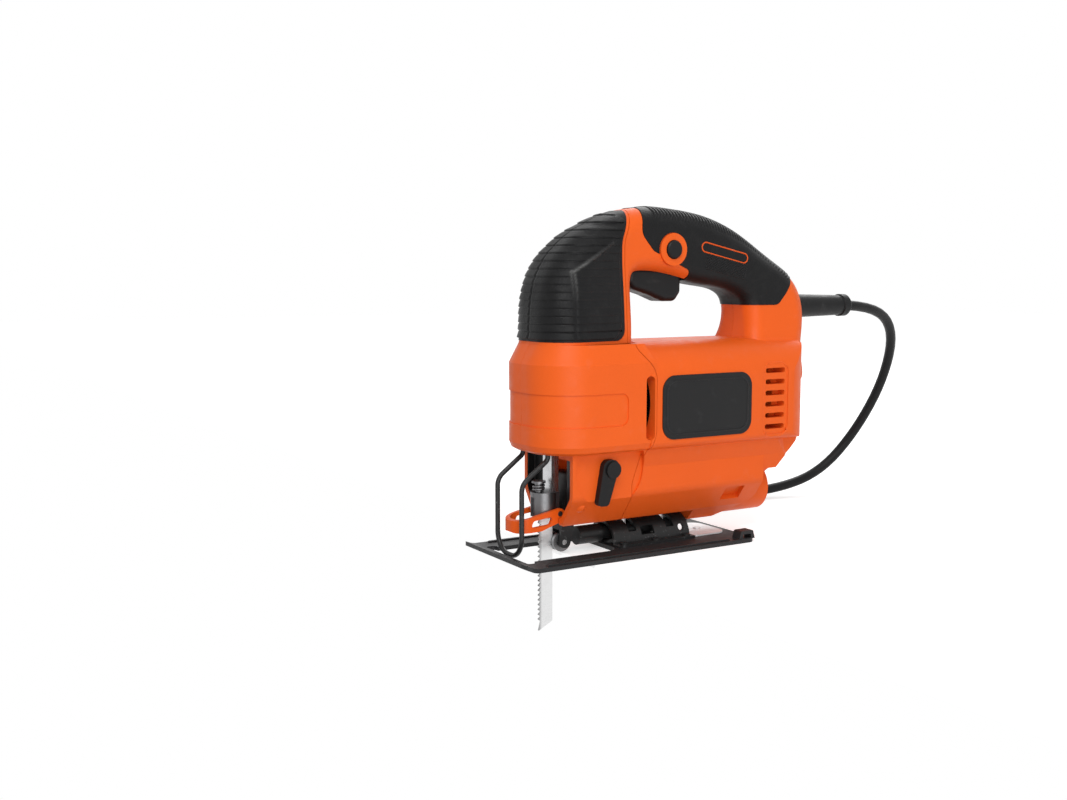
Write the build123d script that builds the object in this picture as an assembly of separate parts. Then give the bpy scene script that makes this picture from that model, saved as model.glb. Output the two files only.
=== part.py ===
from build123d import *
import math
import os

os.makedirs("parts", exist_ok=True)

# Driving dimensions in millimetres. Front is -X, the tool's left side is -Y, up is +Z.
# The origin is the centre of the sole plate's bottom face.

# Clearances
GAP = 0.3
SEAT = 0.05
RUN = 0.06
SEAM = 0.2

# Sole plate and bevel bracket
SOLE_LONG = 171.0
SOLE_WIDE = 78.0
SOLE_THICK = 2.6
SOLE_CORNER = 6.0
LIP_RISE = 3.4
LIP_RUN = 7.0
BRIDGE_FRONT = 72.0
BRIDGE_REAR = 85.0
BRIDGE_TOP = 7.6
BRIDGE_WIDE = 7.0
WINDOW_FRONT = -76.0
WINDOW_REAR = -9.0
WINDOW_HALF = 22.0
WINDOW_EAR = 26.0
EAR_REAR = -69.5
BEVEL_Z = 3.0
BEVEL_DEGREES = 45.0
DOME_OUT = 14.0
DOME_WALL = 1.8
DOME_FRONT = -7.0
DOME_REAR = 51.0
DOME_FOOT = 20.0
DOME_FOOT_THICK = 1.6
BEVEL_SCREWS = (8.0, 37.0)
BEVEL_SCREW_R = 2.5
BAR_Z = 9.2
BAR_R = 4.2
BAR_NOSE_R = 5.8
BAR_FRONT = -27.0
BAR_REAR = 48.0

# Housing outline
WALL = 2.6
RUBBER = 2.2
PROUD = 0.4
NOSE_FRONT = -66.0
NOSE_HALF = 35.5
NOSE_ROUND = 29.0
NOSE_BOTTOM = 64.0
NOSE_TOP = 117.0
NOSE_EDGE = 5.0
SHOULDER_TOP = 128.5
SHELL_SPLIT = 129.5
BARREL_HALF = 36.0
BARREL_TOP = 129.0
BARREL_SHOULDER = 22.0
BARREL_REAR = 135.5
BARREL_ROUND = 22.0
BARREL_FRONT = 4.0
DUST_R = 16.0
DUST_BORE = 12.6
DUST_Z = 28.8
DUST_REAR = 115.0
DUST_BORE_LONG = 34.0
DUCT_R = 6.0
DUCT_Z = 33.6
CHANNEL_HALF = 12.5
CHANNEL_REAR = -28.0
CHEEK_WALL = 3.0
MOUTH_REAR = -41.0
MOUTH_TOP = 60.5

# Drive
MOTOR_Z = 92.0
MODULE = 0.75
PINION_TEETH = 9
GEAR_TEETH = 54
BACKLASH = 0.10
SHAFT_R = 4.0
GEAR_FRONT = -32.0
GEAR_REAR = -24.0
CRANK_R = 9.0
CRANK_PIN_R = 3.0
AXLE_R = 4.0
CASE_FRONT = -22.0
CASE_REAR = -12.0
BEARING_R = 9.5
FIELD_R = 28.0
FIELD_BORE = 17.0
FIELD_FRONT = 28.0
FIELD_REAR = 72.0
CORE_R = 16.4
FAN_R = 26.5
FAN_FRONT = 6.0
FAN_REAR = 17.0
COMMUTATOR_R = 10.0
COMMUTATOR_FRONT = 82.0
COMMUTATOR_REAR = 98.0
BRUSH_X = 90.0
BRUSH_HALF = 3.2
HOLDER_HALF = 4.4
REAR_BEARING_X = 106.0
BEARING_WIDE = 7.0
SHAFT_REAR = 114.5
BAY_R = 31.0
BAY_FRONT = -2.0
BAY_REAR = 128.0

# Plunger, blade and clamp
PLUNGER_X = -45.0
PLUNGER_THICK = 5.0
PLUNGER_WIDE = 10.0
PLUNGER_BOTTOM = 39.0
PLUNGER_TOP = 152.0
STROKE = 18.0
YOKE_FRONT = -42.5
YOKE_REAR = -35.6
YOKE_HALF_WIDE = 15.0
YOKE_HALF_TALL = 7.5
CLAMP_X = -50.0
CLAMP_R = 8.0
CLAMP_BOTTOM = 24.0
BLADE_BACK = -44.0
BLADE_WIDE = 10.0
BLADE_THICK = 1.2
BLADE_TIP = -47.0
TOOTH = 3.0
TOOTH_DEEP = 1.7
LEVER_PIVOT = (-45.0, 26.5)
LEVER_PIN_R = 1.6
LEVER_IN = 8.8
LEVER_THICK = 2.4

# Guide roller and pendulum
ROLLER_R = 6.2
ROLLER_GROOVE_R = 4.8
ROLLER_Z = 7.4
ROLLER_HALF = 3.6
ROLLER_PIN_R = 1.6
PENDULUM_PIVOT = (-33.0, 46.0)
PENDULUM_PIN_R = 2.2
SELECTOR = (-20.4, 54.0)
SELECTOR_SHAFT_R = 3.6
SELECTOR_SWEEP = 24.2
LOWER_HALF = 28.0

# Handle controls
TRIGGER_HALF = 9.5
TRIGGER_EDGE = 4.2
TRIGGER_TRAVEL = 6.0
BUTTON = (32.5, 185.0)
BUTTON_R = 5.6
BUTTON_TRAVEL = 2.0
RING_R = 10.0

# Fastenings, seats and small features
SCREW_R = 1.6
SCREW_HEAD_R = 3.4
PILLAR_R = 4.6
SWITCH_HALF = 9.0
BUSH_HALF = 9.0
UPPER_BUSH_Z = (138.0, 146.0)
BOOT_NECK_R = 6.0
BOOT_BORE = 10.0
RECESS = 1.2
BAND_LOW = 80.5
BAND_HIGH = 100.0
BAND_REAR = -12.5
BAND_DEEP = 0.7
BOSS = (-38.0, 20.5, 33.0)
BOSS_R = 4.8
WIRE_R = 1.5
GUARD_HALF = 14.5
GUARD_TOP_X = -56.0
VENTS = 6
VENT_LOW = 71.2
VENT_PITCH = 7.2
GROOVE_PITCH = 5.7
GROOVES = 12

# Cord
CORD_R = 3.5
RELIEF_Z = 148.5
RELIEF_REAR = 197.0
CORD_END_STRAIGHT = 8.0
COIL_X = 106.0
COIL_Y = 132.0
COIL_Z = 5.4
COIL_OUT = 53.4
COIL_STEP = 7.8
COIL_CLIMB = 7.8
COIL_HALF_TURNS_LOW = 8
COIL_HALF_TURNS_HIGH = 6
TIE_WALL = 1.4
PLUG_LONG = 38.0
PIN_R = 2.4
PIN_LONG = 19.0
PIN_ROOT_R = 1.8
PIN_ROOT_LONG = 6.0
PIN_STANDOFF = 0.1
PIN_HALF_PITCH = 9.5

gear_distance = MODULE * (PINION_TEETH + GEAR_TEETH) / 2
GEAR_Z = MOTOR_Z + gear_distance
roller_x = BLADE_BACK + GAP + ROLLER_GROOVE_R
cavity = RUBBER + WALL


# Small helpers

def outline(corners):
    """A flat face from corner points, each with its own rounding."""
    points = [(a, b) for a, b, _ in corners]
    radii = [r for _, _, r in corners]
    return make_face(FilletPolyline(*points, radius=radii, close=True))


def along_y(face, y0, y1):
    """Sketch drawn in X and Z, pulled from y0 to y1."""
    return extrude(Plane((0, y0, 0), x_dir=(1, 0, 0), z_dir=(0, -1, 0)) * face, -(y1 - y0))


def along_x(face, x0, x1):
    """Sketch drawn in Y and Z, pulled from x0 to x1."""
    return extrude(Plane((x0, 0, 0), x_dir=(0, 1, 0), z_dir=(1, 0, 0)) * face, x1 - x0)


def along_z(face, z0, z1):
    """Sketch drawn in X and Y, pulled from z0 to z1."""
    return extrude(Plane((0, 0, z0)) * face, z1 - z0)


def block(x0, x1, y0, y1, z0, z1):
    return Pos((x0 + x1) / 2, (y0 + y1) / 2, (z0 + z1) / 2) * Box(x1 - x0, y1 - y0, z1 - z0)


def rod_x(radius, x0, x1, z, y=0.0):
    return Pos((x0 + x1) / 2, y, z) * Rot(0, 90, 0) * Cylinder(radius, x1 - x0)


def rod_y(radius, y0, y1, x, z):
    return Pos(x, (y0 + y1) / 2, z) * Rot(90, 0, 0) * Cylinder(radius, y1 - y0)


def rod_z(radius, z0, z1, x, y=0.0):
    return Pos(x, y, (z0 + z1) / 2) * Cylinder(radius, z1 - z0)


def spun_x(points, z):
    """A profile of (x, radius) points turned about the X axis at height z."""
    face = make_face(Polyline(*points, close=True))
    return Pos(0, 0, z) * revolve(Plane.XZ * face, Axis.X)


# Outer shape of the housing, each drawn with an inset so that walls follow it

HOOP = [
    (0.0, 112.0, -60.0, 112.0, 22.0, 30.0, 5.0, 19.0),
    (0.5, 128.0, -60.0, 128.0, 21.5, 30.0, 5.0, 19.0),
    (1.0, 145.0, -59.0, 146.0, 20.5, 29.5, 5.0, 19.0),
    (1.2, 157.0, -55.5, 166.0, 19.5, 27.5, 6.0, 17.0),
    (2.2, 165.0, -43.0, 185.5, 18.5, 24.0, 7.0, 15.0),
    (5.0, 170.0, -21.0, 200.0, 17.5, 20.5, 8.0, 13.0),
    (13.0, 172.0, 6.0, 209.5, 17.0, 18.5, 9.0, 13.0),
    (32.0, 170.0, 34.0, 210.0, 17.0, 18.0, 10.0, 13.0),
    (56.0, 164.5, 63.0, 206.0, 17.0, 18.0, 11.0, 13.0),
    (77.0, 161.5, 91.0, 195.5, 17.0, 18.0, 11.0, 13.0),
    (90.0, 157.0, 117.0, 180.0, 17.5, 18.5, 10.0, 13.0),
    (95.0, 150.5, 138.0, 164.5, 18.0, 19.0, 10.0, 12.0),
    (96.0, 142.0, 144.5, 148.5, 18.5, 20.0, 10.0, 12.0),
    (95.0, 132.0, 143.0, 133.0, 21.0, 22.0, 10.0, 12.0),
    (90.0, 120.0, 139.5, 117.0, 26.0, 26.5, 10.0, 14.0),
    (82.0, 104.0, 134.0, 100.0, 31.0, 31.0, 10.0, 14.0),
]


def hoop_station(row, inset):
    """One cross-section of the hoop between its inner and outer points."""
    xi, zi, xo, zo, half_in, half_out, round_in, round_out = row
    inner = Vector(xi, 0, zi)
    outer = Vector(xo, 0, zo)
    reach = (outer - inner).normalized()
    far = (outer - inner).length - inset
    plane = Plane(origin=inner, x_dir=reach, z_dir=reach.cross(Vector(0, 1, 0)))
    corners = [
        (inset, inset - half_in, round_in - inset),
        (far, inset - half_out, round_out - inset),
        (far, half_out - inset, round_out - inset),
        (inset, half_in - inset, round_in - inset),
    ]
    return plane * outline(corners)


def hoop(inset):
    """Front column, handle and rear leg as one bent tapering loft."""
    return loft([hoop_station(row, inset) for row in HOOP])


def plan(front, half, rear, round_front, inset):
    """Plan of the nose, round at the front."""
    corners = [
        (front + inset, inset - half, round_front - inset),
        (rear, inset - half, 0),
        (rear, half - inset, 0),
        (front + inset, half - inset, round_front - inset),
    ]
    return outline(corners)


def nose(inset):
    """Gear nose with its shoulder under the front grip."""
    low = plan(NOSE_FRONT, NOSE_HALF, 8.0 - inset, NOSE_ROUND, inset)
    top = plan(-60.0, 30.5, 2.0 - inset, 24.0, inset)
    floor = NOSE_BOTTOM + inset
    body = along_z(low, floor + NOSE_EDGE, NOSE_TOP)
    rings = [(0.0, 0.84), (0.32, 0.27), (1.0, 0.0)]
    edge = [Plane((0, 0, floor + NOSE_EDGE * up)) * plan(NOSE_FRONT, NOSE_HALF, 8.0 - inset, NOSE_ROUND,
                                                         inset + NOSE_EDGE * into) for up, into in rings]
    body = body + loft(edge, ruled=True)
    shoulder = loft([Plane((0, 0, NOSE_TOP)) * low, Plane((0, 0, SHOULDER_TOP)) * top], ruled=True)
    return body + shoulder


def barrel():
    """Motor housing, wide and round-shouldered, closed by a rounded rear."""
    section = [
        (BARREL_HALF, NOSE_BOTTOM, 5.0),
        (BARREL_HALF, BARREL_TOP, BARREL_SHOULDER),
        (-BARREL_HALF, BARREL_TOP, BARREL_SHOULDER),
        (-BARREL_HALF, NOSE_BOTTOM, 5.0),
    ]
    top = [
        (BARREL_FRONT, -BARREL_HALF - 2, 0),
        (BARREL_REAR, -BARREL_HALF, BARREL_ROUND),
        (BARREL_REAR, BARREL_HALF, BARREL_ROUND),
        (BARREL_FRONT, BARREL_HALF + 2, 0),
    ]
    side = [
        (BARREL_FRONT, NOSE_BOTTOM - 1, 0),
        (BARREL_REAR, NOSE_BOTTOM - 1, 14.0),
        (BARREL_REAR, BARREL_TOP + 1, 14.0),
        (BARREL_FRONT, BARREL_TOP + 1, 0),
    ]
    shape = along_x(outline(section), BARREL_FRONT, BARREL_REAR)
    shape = shape & along_z(outline(top), 40, 140)
    return shape & along_y(outline(side), -40, 40)


def tail():
    """Slope from the motor's rear down to the dust outlet."""
    section = [
        (30.0, NOSE_BOTTOM + 8, 4.0),
        (27.6, 54.0, 12.0),
        (14.0, 34.0, 8.0),
        (-14.0, 34.0, 8.0),
        (-27.6, 54.0, 12.0),
        (-30.0, NOSE_BOTTOM + 8, 4.0),
    ]
    side = [
        (20.0, 34.0, 0),
        (104.0, 34.0, 6.0),
        (128.5, 63.0, 6.0),
        (124.0, 72.0, 2.0),
        (20.0, 74.0, 0),
    ]
    return along_x(outline(section), 20.0, 132.0) & along_y(outline(side), -40, 40)


def skirt():
    """Sloping belly between the wide upper body and the narrow lower body."""
    section = [
        (31.5, 68.0, 0),
        (31.5, 64.2, 2.0),
        (LOWER_HALF, 53.5, 6.0),
        (LOWER_HALF - 2.0, 44.0, 0),
        (2.0 - LOWER_HALF, 44.0, 0),
        (-LOWER_HALF, 53.5, 6.0),
        (-31.5, 64.2, 2.0),
        (-31.5, 68.0, 0),
    ]
    top = [
        (-46.0, -27.0, 0),
        (-30.0, -31.5, 12.0),
        (108.0, -31.5, 16.0),
        (128.0, -24.0, 4.0),
        (128.0, 24.0, 4.0),
        (108.0, 31.5, 16.0),
        (-30.0, 31.5, 12.0),
        (-46.0, 27.0, 0),
    ]
    side = [
        (-46.0, 40.0, 0),
        (109.0, 40.0, 0),
        (128.2, 63.0, 6.0),
        (124.0, 70.0, 0),
        (-46.0, 70.0, 0),
    ]
    shape = along_x(outline(section), -46.0, 128.0) & along_z(outline(top), 40, 70)
    return shape & along_y(outline(side), -40, 40)


LOWER_SECTION = [
    (LOWER_HALF, 68.0, 0),
    (LOWER_HALF, 37.0, 8.0),
    (16.0, 20.5, 3.0),
    (5.5, 11.5, 3.0),
    (-5.5, 11.5, 3.0),
    (-16.0, 20.5, 3.0),
    (-LOWER_HALF, 37.0, 8.0),
    (-LOWER_HALF, 68.0, 0),
]
LOWER_SIDE = [
    (-47.0, 19.5, 2.0),
    (53.0, 19.5, 0),
    (55.0, 11.0, 2.0),
    (74.0, 11.0, 4.0),
    (100.0, 24.0, 6.0),
    (100.0, 68.0, 0),
    (-47.0, 68.0, 0),
]


def lower():
    """Narrow lower body over the sole, cut away so the sole can tilt."""
    body = along_x(outline(LOWER_SECTION), -60, 110) & along_y(outline(LOWER_SIDE), -40, 40)
    saddle = rod_x(DOME_OUT + GAP + 0.1, DOME_FRONT - 1.5, DOME_REAR + 1.5, BEVEL_Z)
    return body - saddle


def envelope():
    dust = rod_x(DUST_R, 55.0, DUST_REAR, DUST_Z)
    boss = [Pos(BOSS[0], y, BOSS[2]) * Sphere(BOSS_R) for y in (-BOSS[1], BOSS[1])]
    return hoop(0) + nose(0) + barrel() + tail() + skirt() + lower() + dust + boss


# Seam between the front cover and the main housing, as a region in side view

SEAM_LINE = [
    (-3.6, 5.0, 0),
    (-3.6, 44.0, 14.0),
    (7.8, 74.0, 14.0),
    (7.8, 112.0, 14.0),
    (-4.4, 126.0, 8.0),
    (-4.4, 190.0, 20.0),
    (6.0, 216.0, 0),
    (-90.0, 216.0, 0),
    (-90.0, 5.0, 0),
]


def seam_region(grow):
    return along_y(offset(outline(SEAM_LINE), grow), -60, 60)


FRONT_GRIP = [
    (-90.0, 130.2, 0),
    (-6.6, 130.2, 7.0),
    (-6.6, 190.0, 20.0),
    (4.0, 216.0, 0),
    (-90.0, 216.0, 0),
]
HANDLE_GRIP = [
    (12.5, 216.0, 0),
    (8.0, 195.0, 9.0),
    (18.0, 184.0, 5.0),
    (47.0, 172.0, 4.0),
    (47.0, 150.0, 0),
    (118.0, 150.0, 6.0),
    (125.0, 158.0, 8.0),
    (139.0, 180.0, 0),
    (120.0, 216.0, 0),
]


def front_grip_region(grow):
    return along_y(offset(outline(FRONT_GRIP), grow), -60, 60)


def handle_grip_region(grow):
    region = along_y(offset(outline(HANDLE_GRIP), grow), -60, 60)
    return region - rod_y(
        RING_R + GAP - grow, -60, 0, *BUTTON) - rod_y(RING_R + GAP - grow, 0, 60, *BUTTON)


# Build the housing shells

skin = envelope()
hoop_core = hoop(RUBBER)
hoop_hollow = hoop(cavity)
hoop_proud = hoop(-PROUD)
rubber_shell = hoop_proud - hoop_core
grip_zone = front_grip_region(0) + handle_grip_region(0)
solid_body = skin - (rubber_shell & grip_zone)

# Hollows for the drive, the blade channel, and the dust path to the rear outlet
mouth = along_x(offset(outline(LOWER_SECTION), -CHEEK_WALL), -70, MOUTH_REAR)
holes = [
    hoop_hollow,
    rod_x(BAY_R, BAY_FRONT, BAY_REAR, MOTOR_Z),
    nose(WALL + 0.9) & block(-70, -1.5, -40, 40, NOSE_BOTTOM + 4.0, 140),
    block(-24, 60, -21, 21, 43, 70),
    block(-70, CHANNEL_REAR, -CHANNEL_HALF, CHANNEL_HALF, 5, NOSE_BOTTOM),
    mouth & block(-70, 0, -40, 40, 24, MOUTH_TOP),
    rod_x(DUCT_R, CHANNEL_REAR - 2, DUST_REAR - DUST_BORE_LONG + 2, DUCT_Z),
    rod_x(DUST_BORE, DUST_REAR - DUST_BORE_LONG, DUST_REAR + 5, DUST_Z),
]
body = solid_body - holes

# Ribs that seat the drive, the switch and the upper bush
BRUSH_RIB = (84.5, 95.5)
BEARING_RIB = (REAR_BEARING_X - 1.0, REAR_BEARING_X + BEARING_WIDE + 1.0)
ribs = []
for rib_span, bore in (
    ((34.0, 38.0), FIELD_R + SEAT),
    ((62.0, 66.0), FIELD_R + SEAT),
    (BRUSH_RIB, COMMUTATOR_R + 3.0),
    (BEARING_RIB, BEARING_R + SEAT),
):
    ribs.append(
        rod_x(BAY_R + 0.8, *rib_span, MOTOR_Z) - rod_x(bore, rib_span[0] - 1, rib_span[1] + 1, MOTOR_Z))
for x0 in (17.0, 55.0):
    rib = block(x0, x0 + 3.0, -16.0, 16.0, 182.5, 200.0) & hoop_core
    ribs.append(rib - block(x0 - 1, x0 + 4, -SWITCH_HALF - SEAT, SWITCH_HALF + SEAT, 180, 203))
bush_seat = block(-56.0, -34.0, -19.0, 19.0, *UPPER_BUSH_Z) & hoop_core
bush_room = block(
    -51.6, -38.4, -BUSH_HALF - SEAT, BUSH_HALF + SEAT, UPPER_BUSH_Z[0] - 1, UPPER_BUSH_Z[1] + 1)
ribs.append(bush_seat - bush_room)

# Screw pillars across both halves, and the ring round the lock button
SCREWS = [
    (-32.0, 174.0, 19.0),
    (-12.0, 152.0, 18.5),
    (-6.0, 73.0, 33.0),
    (121.0, 114.0, 24.0),
    (121.0, 76.0, 28.0),
    (78.0, 186.0, 15.5),
    (120.0, 163.0, 16.0),
    (74.0, 52.0, 25.0),
]
pillars = [rod_y(PILLAR_R, -reach, reach, x, z) & solid_body for x, z, reach in SCREWS]
ring = rod_y(RING_R, -18.7, -12.8, *BUTTON)
body = body + ribs + pillars + [ring]

# Cut-outs in the shells
cuts = []
for x, z, reach in SCREWS:
    cuts.append(rod_y(SCREW_R + SEAT, -12.0, reach - 5.0, x, z))
    cuts.append(rod_y(SCREW_HEAD_R + GAP, reach - 6.0, 60.0, x, z))
cuts.append(block(BRUSH_X - HOLDER_HALF - SEAT, BRUSH_X + HOLDER_HALF + SEAT, -29.05, 29.05,
                  MOTOR_Z - HOLDER_HALF - SEAT, MOTOR_Z + HOLDER_HALF + SEAT))
cuts.append(block(-53.1, -37.9, -BUSH_HALF - SEAT, BUSH_HALF + SEAT, NOSE_BOTTOM - 2, NOSE_BOTTOM + 12))
cuts.append(block(4.4, 47.0, -TRIGGER_HALF - 0.5, TRIGGER_HALF + 0.5, 148, 182))
cuts.append(rod_x(BOOT_NECK_R + SEAT, 126.0, 145.0, RELIEF_Z))
cuts.append(rod_x(8.2, 144.2, 170.0, RELIEF_Z))
selector_room = rod_y(SELECTOR_SWEEP, -40.0, -LOWER_HALF + RECESS, *SELECTOR)
cuts.append(selector_room & block(-60, 20, -40, 0, 20, NOSE_BOTTOM))
cuts.append(rod_y(SELECTOR_SHAFT_R + RUN, -40.0, -18.0, *SELECTOR))
cuts.append(rod_y(PENDULUM_PIN_R + SEAT, -16.0, 16.0, *PENDULUM_PIVOT))
cuts.append(rod_y(BUTTON_R + GAP, -30.0, -9.0, *BUTTON))
for x in BEVEL_SCREWS:
    cuts.append(rod_z(BEVEL_SCREW_R + SEAT, 10.0, 26.0, x))
band = outline([
    (-90.0, BAND_LOW, 0),
    (BAND_REAR, BAND_LOW, 5.0),
    (BAND_REAR, BAND_HIGH, 5.0),
    (-90.0, BAND_HIGH, 0),
])
band_in = plan(NOSE_FRONT, NOSE_HALF, 8.0, NOSE_ROUND, BAND_DEEP)
cuts.append(
    along_y(band, -60, 60) & (block(-90, 0, -50, 50, BAND_LOW, BAND_HIGH) - along_z(band_in, 60, 120)))
bevel_axis = Axis((0, 0, BEVEL_Z), (1, 0, 0))
bridge_room = block(
    BRIDGE_FRONT - 1.2, BRIDGE_REAR + 1.2, -SOLE_WIDE / 2 - 1.5, -SOLE_WIDE / 2 + BRIDGE_WIDE + 2.5,
    BEVEL_Z, BRIDGE_TOP + 1.0).rotate(bevel_axis, -BEVEL_DEGREES)
cuts.append(bridge_room)
cuts.append(mirror(bridge_room, Plane.XZ))
for y in (-GUARD_HALF, GUARD_HALF):
    cuts.append(rod_z(WIRE_R + SEAT, NOSE_BOTTOM - 1, NOSE_BOTTOM + 3.5, GUARD_TOP_X, y))

# Vents, the air slot at the seam and the badge place
vent_field = outline([(91.5, 68.0, 6), (112.5, 68.0, 6), (112.5, 114.0, 6), (91.5, 114.0, 6)])
slot_middle = rod_x(BAY_R - 2.0, 80, 120, MOTOR_Z)
for i in range(VENTS):
    z = VENT_LOW + VENT_PITCH * i
    vent = outline([(94.0, z, 1.3), (110.0, z, 1.3), (110.0, z + 3.2, 1.3), (94.0, z + 3.2, 1.3)])
    cuts.append(along_y(vent, -50, 50) - slot_middle)
cuts.append(along_y(vent_field, -50.0, -BARREL_HALF + 0.7))
cuts.append(along_y(vent_field, BARREL_HALF - 0.7, 50.0))
air_slot = outline([(0.4, 70.6, 2.8), (6.4, 70.6, 2.8), (6.4, 109.2, 2.8), (0.4, 109.2, 2.8)])
cuts.append(along_y(air_slot, -50.0, -27.0))
cuts.append(along_y(air_slot, 27.0, 50.0))
badge_face = outline([(12.0, 70.0, 9), (81.5, 70.0, 9), (81.5, 109.0, 9), (12.0, 109.0, 9)])
cuts.append(along_y(offset(badge_face, 0.1), -50.0, -BARREL_HALF + 0.9))
body = body - cuts
print("shell", body.is_valid, round(body.volume))

# Split the shells into left and right halves, each parted again at the foot of the handle

LEFT = block(-200, 400, -80, -SEAM / 2, -20, 260)
RIGHT = block(-200, 400, SEAM / 2, 80, -20, 260)
BELOW = block(-200, 400, -80, 80, -20, SHELL_SPLIT)
ABOVE = block(-200, 400, -80, 80, SHELL_SPLIT, 260)
PARTS = {}
front_body = body & seam_region(-SEAM)
main_body = body - seam_region(SEAM)
for name, half in (("left", LEFT), ("right", RIGHT)):
    PARTS["front_cover_" + name] = front_body & (half & BELOW)
    PARTS["front_column_" + name] = front_body & (half & ABOVE)
    PARTS["main_housing_" + name] = main_body & (half & BELOW)
    PARTS["handle_shell_" + name] = main_body & (half & ABOVE)

# Rubber grips with moulded grooves
grooves = [
    block(-90, -9, -60, 60, z, z + 1.1) for z in [135.6 + GROOVE_PITCH * i for i in range(GROOVES)]]
groove_depth = hoop_proud - hoop(0.6)
front_rubber = rubber_shell & front_grip_region(-GAP / 2)
front_rubber = front_rubber - [groove_depth & g for g in grooves]
handle_rubber = rubber_shell & handle_grip_region(-GAP / 2)
handle_rubber = handle_rubber - block(4.0, 47.6, -11, 11, 148, 182)
PARTS["front_grip_left"] = front_rubber & LEFT
PARTS["front_grip_right"] = front_rubber & RIGHT
PARTS["handle_grip_left"] = handle_rubber & LEFT
PARTS["handle_grip_right"] = handle_rubber & RIGHT
PARTS["badge_plate"] = along_y(badge_face, -BARREL_HALF - 0.6, -BARREL_HALF + 0.9)


# Gears with involute teeth

PRESSURE = math.radians(28.0)
ADDENDUM = 0.75 * MODULE
DEDENDUM = 1.05 * MODULE


def gear_face(teeth, turn):
    """Involute gear outline, one tooth centred on the angle `turn`."""
    pitch_r = MODULE * teeth / 2
    base_r = pitch_r * math.cos(PRESSURE)
    tip_r = pitch_r + ADDENDUM
    root_r = pitch_r - DEDENDUM
    half_at_pitch = (math.pi * MODULE / 2 - BACKLASH) / 2 / pitch_r
    lean_at_pitch = math.tan(PRESSURE) - PRESSURE
    start_r = max(base_r, root_r + 0.02)

    def half_angle(r):
        lean = math.acos(min(1.0, base_r / r))
        return half_at_pitch + lean_at_pitch - (math.tan(lean) - lean)

    radii = [start_r + (tip_r - start_r) * i / 3 for i in range(4)]
    flank = [(root_r, half_angle(start_r))] + [(r, half_angle(r)) for r in radii]
    points = []
    for k in range(teeth):
        middle = turn + 2 * math.pi * k / teeth
        for r, a in flank:
            points.append((r * math.cos(middle - a), r * math.sin(middle - a)))
        for r, a in reversed(flank):
            points.append((r * math.cos(middle + a), r * math.sin(middle + a)))
    return make_face(Polyline(*points, close=True))


# Armature: shaft with pinion, core, windings, commutator and fan

pinion = along_x(gear_face(PINION_TEETH, math.pi / 2), GEAR_FRONT - 1.0, CASE_FRONT - 0.8)
PARTS["armature_shaft"] = Pos(0, 0, MOTOR_Z) * pinion + rod_x(
    SHAFT_R, CASE_FRONT - 0.8, SHAFT_REAR, MOTOR_Z)
core = rod_x(CORE_R, 30.0, 70.0, MOTOR_Z) - rod_x(7.0, 29.0, 71.0, MOTOR_Z)
core_slot = block(29.0, 71.0, -0.9, 0.9, CORE_R - 4.5, CORE_R + 2)
core_slots = [Pos(0, 0, MOTOR_Z) * Rot(30.0 * i, 0, 0) * core_slot for i in range(12)]
PARTS["armature_core"] = core - core_slots
PARTS["armature_windings"] = spun_x([
    (23.0, SHAFT_R),
    (24.0, 10.0),
    (26.0, 14.0),
    (30.0, 14.6),
    (30.0, 7.0),
    (70.0, 7.0),
    (70.0, 14.6),
    (75.0, 14.0),
    (78.5, 9.6),
    (79.0, SHAFT_R),
], MOTOR_Z)
commutator = rod_x(COMMUTATOR_R, COMMUTATOR_FRONT, COMMUTATOR_REAR, MOTOR_Z)
commutator = commutator - rod_x(SHAFT_R, COMMUTATOR_FRONT - 1, COMMUTATOR_REAR + 1, MOTOR_Z)
bar_groove = block(
    COMMUTATOR_FRONT + 3, COMMUTATOR_REAR + 1, -0.3, 0.3, COMMUTATOR_R - 0.8, COMMUTATOR_R + 1)
PARTS["commutator"] = commutator - [
    Pos(0, 0, MOTOR_Z) * Rot(15.0 * i, 0, 0) * bar_groove for i in range(24)]
fan_plate = spun_x([
    (FAN_FRONT, SHAFT_R),
    (FAN_FRONT, 8.0),
    (FAN_REAR - 2.0, 8.0),
    (FAN_REAR - 2.0, FAN_R),
    (FAN_REAR, FAN_R),
    (FAN_REAR, SHAFT_R),
], MOTOR_Z)
vane = block(FAN_FRONT + 1.0, FAN_REAR - 2.0, -0.8, 0.8, 7.5, FAN_R - 0.5)
PARTS["fan"] = fan_plate + [Pos(0, 0, MOTOR_Z) * Rot(36.0 * i, 0, 0) * vane for i in range(10)]

# Field, bearings and brushes
field = rod_x(FIELD_R, FIELD_FRONT, FIELD_REAR, MOTOR_Z) - rod_x(
    FIELD_BORE, FIELD_FRONT - 1, FIELD_REAR + 1, MOTOR_Z)
coil_room = block(FIELD_FRONT - 1, FIELD_REAR + 1, 14.0, 23.0, MOTOR_Z - 9.0, MOTOR_Z + 9.0)
PARTS["field_core"] = field - coil_room - mirror(coil_room, Plane.XZ)
field_coil = block(FIELD_FRONT - 4.0, FIELD_REAR + 4.0, 17.6, 22.9, MOTOR_Z - 8.9, MOTOR_Z + 8.9)
PARTS["field_coils"] = Compound([field_coil, mirror(field_coil, Plane.XZ)])


def bearing(x0):
    ring = rod_x(BEARING_R, x0, x0 + BEARING_WIDE, MOTOR_Z) - rod_x(
        SHAFT_R + RUN, x0 - 1, x0 + BEARING_WIDE + 1, MOTOR_Z)
    step = rod_x(7.6, x0 - 1, x0 + 0.6, MOTOR_Z) - rod_x(5.8, x0 - 1, x0 + 0.6, MOTOR_Z)
    return ring - step


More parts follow.
